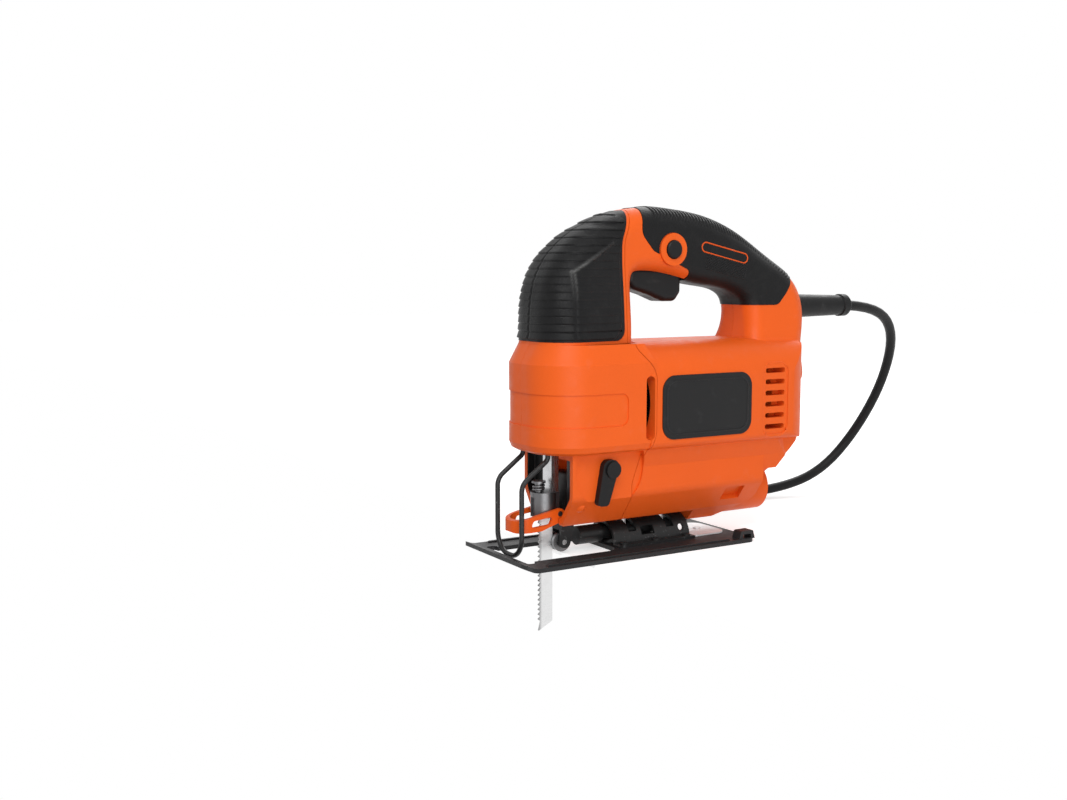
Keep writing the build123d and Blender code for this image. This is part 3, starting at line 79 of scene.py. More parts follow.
class Graph:
    """Node tree of one material, with short calls for what the finishes share."""

    def __init__(self, name: str) -> None:
        """Starts a material with its shader and its Object coordinates.

        Args:
            name: the material's name.
        """
        self.material = bpy.data.materials.new(name)
        self.material.use_nodes = True
        self.tree = self.material.node_tree
        self.shader = self.tree.nodes["Principled BSDF"]
        self.place = self.node("ShaderNodeTexCoord").outputs["Object"]

    def node(self, kind: str, **settings: object) -> bpy.types.Node:
        """Adds a node.

        Args:
            kind: the node's type name.
            settings: properties to set on it.
        Returns:
            The node.
        """
        made = self.tree.nodes.new(kind)
        for key, value in settings.items():
            setattr(made, key, value)
        return made

    def feed(self, socket: bpy.types.NodeSocket, value: object) -> None:
        """Links a socket into another, or sets a plain value on it.

        Args:
            socket: the input.
            value: an output socket, a number or a colour.
        """
        if isinstance(value, bpy.types.NodeSocket):
            self.tree.links.new(value, socket)
        else:
            socket.default_value = value

    def surface(self, name: str, value: object) -> None:
        """Feeds the shader's input of that name."""
        self.feed(self.shader.inputs[name], value)

    def noise(self, size: float, detail: float = 2.0,
              stretch: tuple = (1.0, 1.0, 1.0)) -> bpy.types.NodeSocket:
        """Noise on Object coordinates.

        Args:
            size: size of one blotch in millimetres.
            detail: octaves.
            stretch: factors on the three axes; a small one draws the noise out.
        Returns:
            The noise value, about 0 to 1.
        """
        mapping = self.node("ShaderNodeMapping")
        mapping.inputs["Scale"].default_value = [s / (size * MM) for s in stretch]
        self.feed(mapping.inputs["Vector"], self.place)
        made = self.node("ShaderNodeTexNoise")
        made.inputs["Scale"].default_value = 1.0
        made.inputs["Detail"].default_value = detail
        self.feed(made.inputs["Vector"], mapping.outputs["Vector"])
        return made.outputs["Fac"]

    def cells(self, size: float) -> bpy.types.NodeSocket:
        """Distance to the nearest point of a cell pattern.

        Args:
            size: size of one cell in millimetres.
        Returns:
            The distance, 0 at a cell's middle.
        """
        made = self.node("ShaderNodeTexVoronoi")
        made.inputs["Scale"].default_value = 1.0 / (size * MM)
        self.feed(made.inputs["Vector"], self.place)
        return made.outputs["Distance"]

    def bands(self, pitch: float, axis: str, wobble: float = 0.0) -> bpy.types.NodeSocket:
        """Straight bands across one axis.

        Args:
            pitch: distance between bands in millimetres.
            axis: X, Y or Z.
            wobble: distortion.
        Returns:
            A wave from 0 to 1.
        """
        made = self.node("ShaderNodeTexWave", wave_type="BANDS", bands_direction=axis)
        made.inputs["Scale"].default_value = math.pi / (10.0 * pitch * MM)
        made.inputs["Distortion"].default_value = wobble
        self.feed(made.inputs["Vector"], self.place)
        return made.outputs["Fac"]

    def spread(self, value: object, low: float, high: float,
               start: float, end: object) -> bpy.types.NodeSocket:
        """Maps a value from one range to another, held at the ends.

        Args:
            value: the input socket.
            low, high: its range.
            start, end: the new range, as numbers or sockets.
        Returns:
            The mapped value.
        """
        made = self.node("ShaderNodeMapRange")
        keys = ("Value", "From Min", "From Max", "To Min", "To Max")
        for key, number in zip(keys, (value, low, high, start, end)):
            self.feed(made.inputs[key], number)
        return made.outputs["Result"]

    def vary(self, noise: bpy.types.NodeSocket, middle: float,
             less: float, more: float) -> bpy.types.NodeSocket:
        """Maps noise to values from less below a middle one to more above it."""
        return self.spread(noise, *NOISE_SPAN, middle - less, middle + more)

    def mix(self, factor: object, first: object, second: object) -> bpy.types.NodeSocket:
        """Mixes two colours.

        Args:
            factor: share of the second.
            first, second: colours or sockets.
        Returns:
            The mixed colour.
        """
        made = self.node("ShaderNodeMix", data_type="RGBA")
        for socket, value in zip((made.inputs[0], made.inputs[6], made.inputs[7]), (factor, first, second)):
            self.feed(socket, value)
        return made.outputs[2]

    def bump(self, height: bpy.types.NodeSocket, depth: float, under: object = None) -> bpy.types.NodeSocket:
        """Bump from a height.

        Args:
            height: value from 0 to 1.
            depth: what 1 stands for, in millimetres.
            under: an earlier bump to add to.
        Returns:
            The normal.
        """
        made = self.node("ShaderNodeBump")
        made.inputs["Distance"].default_value = depth * MM
        self.feed(made.inputs["Height"], height)
        if under is not None:
            self.feed(made.inputs["Normal"], under)
        return made.outputs["Normal"]


def tint(colour: tuple, factor: float = 1.0) -> tuple:
    """A colour made darker or lighter, with alpha 1."""
    return (*[min(1.0, channel * factor) for channel in colour], 1.0)


@dataclass(frozen=True)
class Finish:
    """Common part of every finish."""

    name: str
    slot: str
    colour: tuple

    def material(self) -> bpy.types.Material:
        """The finish's material, made once.

        Returns:
            The material.
        """
        found = bpy.data.materials.get("fin_" + self.name)
        if found is None:
            graph = Graph("fin_" + self.name)
            self.paint(graph)
            found = graph.material
        return found

    def paint(self, graph: Graph) -> None:
        """Fills the graph; each kind of finish has its own."""
        raise NotImplementedError


@dataclass(frozen=True)
class Moulded(Finish):
    """Moulded plastic with spark-eroded grain, faint flow marks and rubbed patches."""

    rough: float = 0.42
    grain: float = 0.45
    depth: float = 0.03
    mottle: float = 0.05
    rub: float = 0.10

    def paint(self, graph: Graph) -> None:
        """Colour from broad flow noise and rubbed patches, bump from fine grain.

        Args:
            graph: the material's node tree.
        """
        flow = graph.noise(size=38.0, detail=3.0)
        base = graph.mix(flow, tint(self.colour, 1.0 - self.mottle), tint(self.colour, 1.0 + self.mottle))
        wear_and_glint = graph.spread(graph.noise(size=9.0, detail=6.0), low=0.60, high=0.74, start=0.0, end=self.rub)
        base = graph.mix(wear_and_glint, base, tint([0.35 + 0.65 * c for c in self.colour], 0.8))
        speck = graph.spread(graph.noise(size=0.7, detail=1.0), low=0.35, high=0.75, start=0.0, end=0.07)
        graph.surface("Base Color", graph.mix(speck, base, tint(self.colour, 0.55)))
        cloud = graph.noise(size=6.0, detail=4.0)
        graph.surface("Roughness", graph.vary(cloud, self.rough, less=0.05, more=0.07))
        grain = graph.bump(graph.noise(self.grain), self.depth)
        graph.surface("Normal", graph.bump(graph.noise(size=14.0), depth=0.10, under=grain))
        graph.shader.inputs["Specular IOR Level"].default_value = 0.18


@dataclass(frozen=True)
class Overmould(Finish):
    """Soft rubber with a pebbled skin, dull and a little dusty, and paler where a point attribute paints a
    highlight.
    """

    rough: float = 0.44
    pebble: float = 0.9
    depth: float = 0.10
    dust: float = 0.10
    dust_colour: tuple = (0.055, 0.055, 0.054)
    glint_colour: tuple = (0.12, 0.12, 0.118)

    def paint(self, graph: Graph) -> None:
        """Dark base with a pale dusty veil in patches and a painted highlight of paler rubber on the ridges,
        bump from pebbles.

        Args:
            graph: the material's node tree.
        """
        flow = graph.noise(size=22.0, detail=4.0)
        base = graph.mix(flow, tint(self.colour, 0.82), tint(self.colour, 1.22))
        veil = graph.spread(graph.noise(size=5.0, detail=6.0), low=0.52, high=0.80, start=0.0, end=self.dust)
        base = graph.mix(veil, base, tint(self.dust_colour))
        # painted highlight: paler rubber where the point attribute asks for it, standing in for the glint on
        # the grip's ridge and crease
        wear_and_glint = graph.node("ShaderNodeAttribute", attribute_name=PAINTED_GLINT).outputs["Fac"]
        patchy = graph.spread(graph.noise(size=1.6, detail=4.0), *NOISE_SPAN, start=0.5, end=1.0)
        glint_share = graph.spread(patchy, low=0.0, high=1.0, start=0.0, end=wear_and_glint)
        graph.surface("Base Color", graph.mix(glint_share, base, tint(self.glint_colour)))
        graph.surface("Roughness", graph.vary(flow, self.rough, less=0.06, more=0.10))
        graph.shader.inputs["Specular IOR Level"].default_value = 0.15
        graph.shader.inputs["Sheen Weight"].default_value = 0.03
        graph.shader.inputs["Sheen Roughness"].default_value = 0.4
        pebbles = graph.bump(graph.cells(self.pebble), self.depth)
        graph.surface("Normal", graph.bump(graph.noise(size=0.35), depth=0.025, under=pebbles))


@dataclass(frozen=True)
class Bright(Finish):
    """Bare or plated metal with the marks of how it was made."""

    lay: Lay = Lay.CAST
    rough: float = 0.30
    depth: float = 0.012
    stain: float = 0.25
    metal: float = 1.0

    def paint(self, graph: Graph) -> None:
        """Metal tinted by stains, with fine streaks along its lay in roughness and bump.

        Args:
            graph: the material's node tree.
        """
        cloud = graph.noise(size=7.0, detail=5.0)
        stain = graph.spread(cloud, low=0.45, high=0.75, start=0.0, end=self.stain)
        graph.surface("Base Color", graph.mix(stain, tint(self.colour), tint(self.colour, 0.55)))
        graph.shader.inputs["Metallic"].default_value = self.metal
        streak = graph.noise(size=0.5, detail=3.0, stretch=self.lay.value)
        graph.surface("Roughness", graph.vary(streak, self.rough, less=0.07, more=0.12))
        graph.surface("Normal", graph.bump(streak, self.depth))


@dataclass(frozen=True)
class Toothed(Bright):
    """Bright steel whose ground teeth are darker towards their tips."""

    tips: tuple = (-54.0, -51.4)

    def paint(self, graph: Graph) -> None:
        """Metal as it is elsewhere, darkened along X over the depth of the teeth.

        Args:
            graph: the material's node tree.
        """
        super().paint(graph)
        colour = graph.shader.inputs["Base Color"]
        parts = graph.node("ShaderNodeSeparateXYZ")
        graph.feed(parts.inputs[0], graph.place)
        ground = graph.spread(parts.outputs["X"], *(x * MM for x in self.tips), start=0.9, end=0.0)
        graph.feed(colour, graph.mix(ground, colour.links[0].from_socket, tint(self.colour, 0.22)))


@dataclass(frozen=True)
class Painted(Finish):
    """Painted or blackened steel with a fine orange-peel skin and rubbed spots."""

    rough: float = 0.40
    peel: float = 1.3
    depth: float = 0.035
    bare: float = 0.16
    bare_colour: tuple = (0.30, 0.30, 0.31)

    def paint(self, graph: Graph) -> None:
        """Paint colour with paler rubbed spots, bump from orange peel.

        Args:
            graph: the material's node tree.
        """
        flow = graph.noise(size=16.0, detail=4.0)
        base = graph.mix(flow, tint(self.colour, 0.88), tint(self.colour, 1.14))
        spots = graph.spread(graph.noise(size=2.4, detail=7.0), low=0.62, high=0.70, start=0.0, end=self.bare)
        graph.surface("Base Color", graph.mix(spots, base, tint(self.bare_colour)))
        graph.surface("Roughness", graph.vary(flow, self.rough, less=0.05, more=0.09))
        graph.surface("Normal", graph.bump(graph.noise(self.peel), self.depth))
        graph.shader.inputs["Specular IOR Level"].default_value = 0.28


@dataclass(frozen=True)
class Stacked(Finish):
    """Stacked sheet steel seen edge on, or wires or bars with gaps between them."""

    pitch: float = 0.6
    axis: str = "X"
    rough: float = 0.42
    depth: float = 0.08
    blotch: float = 0.4

    def paint(self, graph: Graph) -> None:
        """Dark lines at every sheet, in colour and bump.

        Args:
            graph: the material's node tree.
        """
        lines = graph.bands(self.pitch, self.axis, wobble=0.4)
        sheet = graph.spread(lines, low=0.1, high=0.6, start=0.0, end=1.0)
        base = graph.mix(sheet, tint(self.colour, 0.35), tint(self.colour, 1.1))
        cloud = graph.noise(size=4.0, detail=4.0)
        blotch = graph.spread(cloud, low=0.4, high=0.8, start=0.0, end=self.blotch)
        graph.surface("Base Color", graph.mix(blotch, base, tint(self.colour, 0.6)))
        graph.shader.inputs["Metallic"].default_value = 1.0
        rough = graph.spread(blotch, 0.0, self.blotch, start=self.rough - 0.05, end=self.rough + 0.15)
        graph.surface("Roughness", rough)
        graph.surface("Normal", graph.bump(lines, self.depth))


ORANGE = Moulded("orange_shell", "orange", (0.79, 0.112, 0.012), rub=0.04)
ORANGE_LEVER = Moulded("orange_lever", "orange", (0.78, 0.100, 0.007), rough=0.38, grain=0.3)
ORANGE_LINE = Moulded("orange_line", "orange", (0.66, 0.085, 0.010), rough=0.5, grain=0.3, rub=0.2)
BLACK = Moulded("black_plastic", "black_plastic", (0.008, 0.008, 0.0084), rub=0.05)
BADGE = Moulded("badge_black", "black_plastic", (0.0115, 0.0115, 0.012), rough=0.40, grain=0.3,
                depth=0.015, rub=0.03)
RUBBER = Overmould("grip_rubber", "rubber", (0.0060, 0.0060, 0.0064))
CORD_RUBBER = Overmould("cord_rubber", "cord_rubber", (0.008, 0.008, 0.0085), rough=0.42, pebble=0.5,
                        depth=0.02)
CLAMP = Bright("clamp_steel", "aluminium", (0.17, 0.17, 0.175), rough=0.40, depth=0.04, stain=0.40)
GROUND = Bright("ground_steel", "steel", (0.62, 0.62, 0.63), Lay.ALONG_Z, rough=0.26)
BLADE = Toothed("blade_steel", "steel", (0.76, 0.76, 0.76), Lay.ALONG_X, rough=0.32, depth=0.02, stain=0.10)
ROLLER = Bright("roller_steel", "steel", (0.20, 0.20, 0.205), Lay.ALONG_Y)
ZINC = Bright("zinc_plate", "zinc", (0.82, 0.82, 0.83), Lay.ALONG_X, rough=0.46, depth=0.010, stain=0.10,
              metal=0.6)
CAST = Bright("die_cast", "aluminium", (0.55, 0.55, 0.56), rough=0.46, depth=0.05, stain=0.30)
BRASS = Bright("brass", "brass", (0.72, 0.50, 0.22), Lay.ALONG_Y, rough=0.32)
DARK_STEEL = Painted("black_steel", "dark_steel", (0.014, 0.014, 0.0145), rough=0.36)
SOLE_PAINT = Painted("sole_paint", "sole_paint", (0.017, 0.017, 0.018), rough=0.46, bare=0.05)
CARBON = Painted("carbon", "carbon", (0.03, 0.03, 0.031), rough=0.6, peel=0.6)
SHEETS = Stacked("laminations", "lamination", (0.24, 0.24, 0.25))
WIRE = Stacked("wound_wire", "copper", (0.62, 0.27, 0.13), pitch=0.7, axis="Y", rough=0.35)
BARS = Stacked("copper_bars", "copper", (0.70, 0.36, 0.22), pitch=1.6, axis="Y", rough=0.28)


# Meshes


def grid_faces(rows: int, cols: int, wrap_rows: bool, wrap_cols: bool) -> np.ndarray:
    """Quads of a grid of points, numbered row by row.

    Args:
        rows, cols: size of the grid.
        wrap_rows, wrap_cols: whether the last row or column joins the first.
    Returns:
        One row of four indices for each quad.
    """
    r = np.arange(rows if wrap_rows else rows - 1)[:, None]
    c = np.arange(cols if wrap_cols else cols - 1)[None, :]
    r1, c1 = (r + 1) % rows, (c + 1) % cols
    quads = (r * cols + c, r * cols + c1, r1 * cols + c1, r1 * cols + c)
    return np.stack([np.broadcast_to(q, (r.shape[0], c.shape[1])) for q in quads], axis=-1).reshape(-1, 4)


def make_piece(name: str, points: np.ndarray, faces: np.ndarray, finish: Finish) -> bpy.types.Object:
    """Puts a closed shape into a mesh, turns it outwards and lets it ride on the housing.

    The sign of the volume, the sum of each triangle's triple product, tells which way the faces point.

    Args:
        name: the piece's name.
        points: one row for each vertex, in metres.
        faces: quads.
        finish: its finish.
    Returns:
        The object.
    """
    a, b, c, d = (points[faces[:, i]] for i in range(4))
    volume = np.sum(a * np.cross(b, c)) + np.sum(a * np.cross(c, d))
    if volume < 0.0:
        faces = faces[:, ::-1]
    mesh = bpy.data.meshes.new(name)
    mesh.from_pydata(points.tolist(), [], faces.tolist())
    mesh.polygons.foreach_set("use_smooth", np.ones(len(mesh.polygons), dtype=bool))
    mesh.update()
    made = bpy.data.objects.new(name, mesh)
    bpy.context.scene.collection.objects.link(made)
    mesh.materials.append(finish.material())
    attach(made, HOUSING)
    log.info("piece %s: %d faces", name, len(faces))
    return made


def slab(name: str, top: np.ndarray, bottom: np.ndarray, finish: Finish) -> bpy.types.Object:
    """A closed skin between two grids: both grids, and a strip of quads round their rims.

    Args:
        name: the piece's name.
        top, bottom: grids of points, rows by columns by 3.
        finish: its finish.
    Returns:
        The object.
    """
    rows, cols = top.shape[:2]
    faces = grid_faces(rows, cols, False, False)
    index = np.arange(rows * cols).reshape(rows, cols)
    rim = np.concatenate([index[0, :-1], index[:-1, -1], index[-1, :0:-1], index[:0:-1, 0]])
    after = np.roll(rim, -1)
    low = rows * cols
    strip = np.stack([after, rim, rim + low, after + low], axis=-1)
    faces = np.concatenate([faces, faces[:, ::-1] + low, strip])
    points = np.concatenate([top.reshape(-1, 3), bottom.reshape(-1, 3)])
    return make_piece(name, points, faces, finish)


def bead(name: str, path: np.ndarray, out: np.ndarray, size: tuple, finish: Finish,
         count: int = 9) -> bpy.types.Object:
    """A half-round bead carried round a closed path.

    At each point the profile is half an ellipse, wide across the path and high along out, on a sunk foot.

    Args:
        name: the piece's name.
        path: closed line of points, in metres.
        out: outward direction.
        size: the profile's width, height and foot depth, in millimetres.
        finish: its finish.
        count: points on the half ellipse.
    Returns:
        The object.
    """
    wide, high, sink = size
    along = np.roll(path, -1, axis=0) - np.roll(path, 1, axis=0)
    across = np.cross(along, out)
    across /= np.linalg.norm(across, axis=1, keepdims=True)
    turn = np.linspace(0.0, math.pi, count)
    side = np.concatenate([0.5 * wide * np.cos(turn), [-0.5 * wide, 0.5 * wide]]) * MM
    rise = np.concatenate([high * np.sin(turn), [-sink, -sink]]) * MM
    points = path[:, None, :] + side[None, :, None] * across[:, None, :] + rise[None, :, None] * out
    return make_piece(name, points.reshape(-1, 3), grid_faces(len(path), len(side), True, True), finish)


def rounded_box(wide: float, high: float, radius: float, count: int = 10, spacing: float = 1.5) -> np.ndarray:
    """A box with round corners: four quarter circles whose ends are joined by straight sides.

    Args:
        wide, high, radius: sizes in millimetres.
        count: points on each corner.
        spacing: distance between further points round the box, in millimetres.
    Returns:
        Closed line of 2-D points round the origin, in millimetres.
    """
    turn = np.linspace(0.0, math.pi / 2, count)
    arcs = []
    for quarter, (sx, sy) in enumerate(((1, 1), (-1, 1), (-1, -1), (1, -1))):
        angle = turn + quarter * math.pi / 2
        arcs.append(np.stack([sx * (wide / 2 - radius) + radius * np.cos(angle),
                              sy * (high / 2 - radius) + radius * np.sin(angle)], axis=-1))
    corners = np.concatenate(arcs)
    gap = np.linalg.norm(np.roll(corners, -1, axis=0) - corners, axis=1)
    run = np.concatenate([[0.0], np.cumsum(gap)])
    closed = np.concatenate([corners, corners[:1]])
    at = np.unique(np.concatenate([run[:-1], np.arange(0.0, run[-1], spacing)]))
    return np.stack([np.interp(at, run, closed[:, i]) for i in range(2)], axis=-1)


class Skin:
    """Outer surface of some CAD nodes, met by whole arrays of rays."""

    BATCH = 12  # rays met at a time
    SLACK = 1e-3  # how far past a triangle's side a meeting still counts, as a share of the side
    FLAT = 1e-14  # determinant under which a ray lies along a triangle

    def __init__(self, *nodes: str) -> None:
        """Gathers the nodes' triangles.

        Args:
            nodes: names of CAD nodes.
        """
        self.triangles = np.concatenate([self._triangles(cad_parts[name]) for name in nodes])
        self.low, self.high = self.triangles.min(axis=1), self.triangles.max(axis=1)

    @staticmethod
    def _triangles(node: bpy.types.Object) -> np.ndarray:
        """Triangles of one node.

        Args:
            node: the node's object.
        Returns:
            Array of triangles by corners by 3.
        """
        mesh = node.data
        mesh.calc_loop_triangles()
        index = np.empty(len(mesh.loop_triangles) * 3, dtype=np.int32)
        mesh.loop_triangles.foreach_get("vertices", index)
        place = np.empty(len(mesh.vertices) * 3, dtype=np.float32)
        mesh.vertices.foreach_get("co", place)
        return place.reshape(-1, 3)[index.reshape(-1, 3)].astype(np.float64)

    def cast(self, start: np.ndarray, aim: np.ndarray, last: bool, far: float = 0.2) -> np.ndarray:
        """Meets each row of rays with the triangles in its box, by the usual ray and triangle determinants.

        Args:
            start, aim: grids of points and unit directions, any shape ending in 3.
            last: True for the farthest meeting, False for the nearest.
            far: how far a ray reaches, in metres.
        Returns:
            Distances, with gaps filled from the rays beside them.
        """
        shape = start.shape[:-1]
        aims = np.broadcast_to(aim, start.shape).reshape(-1, 3)
        starts = start.reshape(-1, 3)
        found = np.full(len(starts), np.nan)
        for first in range(0, len(starts), self.BATCH):
            batch = slice(first, first + self.BATCH)
            p, d = starts[batch, None, :], aims[batch, None, :]
            ends = np.concatenate([p, p + far * d])[:, 0]
            near = np.all((self.high >= ends.min(axis=0)) & (self.low <= ends.max(axis=0)), axis=1)
            corner = self.triangles[near, 0][None]
            e1, e2 = self.triangles[near, 1][None] - corner, self.triangles[near, 2][None] - corner
            h = np.cross(d, e2)
            det = np.sum(e1 * h, axis=-1)
            safe = np.where(np.abs(det) < self.FLAT, np.nan, det)
            s = p - corner
            u = np.sum(s * h, axis=-1) / safe
            q = np.cross(s, e1)
            v = np.sum(d * q, axis=-1) / safe
            t = np.sum(e2 * q, axis=-1) / safe
            ok = (u >= -self.SLACK) & (v >= -self.SLACK) & (u + v <= 1.0 + self.SLACK) & (t > 0)
            best = np.where(ok, t, -np.inf if last else np.inf)
            best = best.max(axis=1, initial=-np.inf) if last else best.min(axis=1, initial=np.inf)
            found[batch] = np.where(np.isfinite(best), best, np.nan)
        flat = np.arange(len(found))
        good = np.isfinite(found)
        return np.interp(flat, flat[good], found[good]).reshape(shape)


def lay_on(skin: Skin, flat: np.ndarray, side: Side) -> np.ndarray:
    """Lays points of the side view on one side of a surface, by rays along Y.

    Args:
        skin: the surface to lie on.
        flat: x and z of the points, in millimetres.
        side: side of the tool that the rays come from.
    Returns:
        Points on the surface, in metres.
    """
    outside = np.full(flat.shape[:-1], BESIDE * side.value)
    start = np.stack([flat[..., 0], outside, flat[..., 1]], axis=-1) * MM
    aim = -side.out()
    return start + skin.cast(start, aim, False)[..., None] * aim


def lean(flat: np.ndarray, degrees: float) -> np.ndarray:
    """Turns points of the side view round the origin, down to the rear.

    Args:
        flat: x and z of the points.
        degrees: how far they turn.
    Returns:
        The turned points.
    """
    a = math.radians(-degrees)
    x = flat[..., 0] * math.cos(a) - flat[..., 1] * math.sin(a)
    z = flat[..., 0] * math.sin(a) + flat[..., 1] * math.cos(a)
    return np.stack([x, z], axis=-1)


def soften(grid: np.ndarray, times: int = 1) -> np.ndarray:
    """Weighs each row and column with its neighbours, 1 2 1, and keeps the rims.

    Args:
        grid: rows by columns, or rows by columns by 3.
        times: passes.
    Returns:
        The smoothed grid.
    """
    out = grid.copy()
    for _ in range(times):
        out[1:-1] = 0.25 * out[:-2] + 0.5 * out[1:-1] + 0.25 * out[2:]
        out[:, 1:-1] = 0.25 * out[:, :-2] + 0.5 * out[:, 1:-1] + 0.25 * out[:, 2:]
    return out


def weights(count: int, at: np.ndarray) -> np.ndarray:
    """Catmull-Rom weights of count samples at fractional places.

    Args:
        count: samples.
        at: places from 0 to count - 1.
    Returns:
        Matrix of places by samples.
    """
    low = np.clip(np.floor(at).astype(int), 0, count - 2)
    t = at - low
    parts = (
        -0.5 * t + t**2 - 0.5 * t**3,
        1 - 2.5 * t**2 + 1.5 * t**3,
        0.5 * t + 2 * t**2 - 1.5 * t**3,
        0.5 * (t**3 - t**2),
    )
    out = np.zeros((len(at), count))
    for shift, part in zip((-1, 0, 1, 2), parts):
        np.add.at(out, (np.arange(len(at)), np.clip(low + shift, 0, count - 1)), part)
    return out


def refine(grid: np.ndarray, rows: np.ndarray, cols: np.ndarray) -> np.ndarray:
    """Reads a grid of points at fractional rows and columns, by Catmull-Rom weights in both directions."""
    return np.einsum("ri,ijk,cj->rck", weights(grid.shape[0], rows), grid, weights(grid.shape[1], cols))


def places(rays: tuple, points: tuple) -> tuple:
    """Fractional rows and columns of a coarse grid where the points of a finer one lie."""
    return tuple(np.linspace(0.0, coarse - 1.0, fine) for coarse, fine in zip(rays, points))


def step(value: np.ndarray, low: float, high: float) -> np.ndarray:
    """Smooth step from 0 at low to 1 at high."""
    t = np.clip((value - low) / (high - low), 0.0, 1.0)
    return t * t * (3.0 - 2.0 * t)


def bell(value: np.ndarray, half: float) -> np.ndarray:
    """Bell curve: 1 at 0, falling to 0.37 at half its width."""
    return np.exp(-((value / half) ** 2))


def beside(at: np.ndarray, first: np.ndarray, last: np.ndarray) -> np.ndarray:
    """Distance in side view to the line between two points.

    Args:
        at: places in millimetres, rows by columns by 3.
        first: one end, x and z.
        last: other end, x and z.
    Returns:
        Distances in millimetres, rows by columns.
    """
    flat, run = at[..., [0, 2]] - first, last - first
    share = np.clip(flat @ run / (run @ run), 0.0, 1.0)
    return np.linalg.norm(flat - share[..., None] * run, axis=-1)


# Sub-assemblies


@dataclass
class Dressing:
    """CAD nodes that keep their shape and get a finish."""

    finishes: dict

    def dress(self) -> None:
        """Puts each node's finish into its material slots."""
        for finish, nodes in self.finishes.items():
            for name in nodes.split():
                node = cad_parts[name]
                if not node.material_slots:
                    node.data.materials.append(finish.material())
                for place in node.material_slots:
                    place.material = finish.material()
                log.info("node %s: %s", name, finish.name)


@dataclass
class Housing:
    """Orange shells with their badge place, vents and boot."""

    badge_inset: float = 3.2
    badge_round: float = 7.0
    badge_bead: tuple = (1.3, 0.35, 0.25)
    vent_centre: tuple = (102.0, 90.2)
    vent_size: tuple = (20.0, 47.0)
    vent_round: float = 6.0
    vent_bead: tuple = (1.1, 0.34, 0.25)

    def build(self) -> None:
        """Finishes the nodes and adds the badge's rim and the vents' frame."""
        Dressing({
            ORANGE: "front_cover_left front_cover_right front_column_left front_column_right "
                    "main_housing_left main_housing_right handle_shell_left handle_shell_right",
            BADGE: "badge_plate",
            ZINC: "housing_screws",
            BLACK: "cord_boot switch_body lock_button trigger",
        }).dress()
        self._badge_rim()
        self._vent_frame()

    def _badge_rim(self) -> None:
        """A plain raised rim on the bare badge plate: a rounded box on its outer face."""
        low, high = (np.array(corner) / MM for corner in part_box("badge_plate"))
        middle = (low + high) / 2
        wide, _, tall = high - low - 2 * self.badge_inset
        line = rounded_box(wide, tall, self.badge_round)
        path = np.stack([line[:, 0] + middle[0], np.full(len(line), low[1]), line[:, 1] + middle[2]], axis=-1)
        bead("badge_rim", path * MM, Side.LEFT.out(), self.badge_bead, BADGE)

    def _vent_frame(self) -> None:
        """A soft rim round the vents: a rounded box laid on the shell's side."""
        line = rounded_box(*self.vent_size, self.vent_round) + self.vent_centre
        path = lay_on(Skin("main_housing_left"), line, Side.LEFT)
        bead("vent_frame", path, Side.LEFT.out(), self.vent_bead, ORANGE)


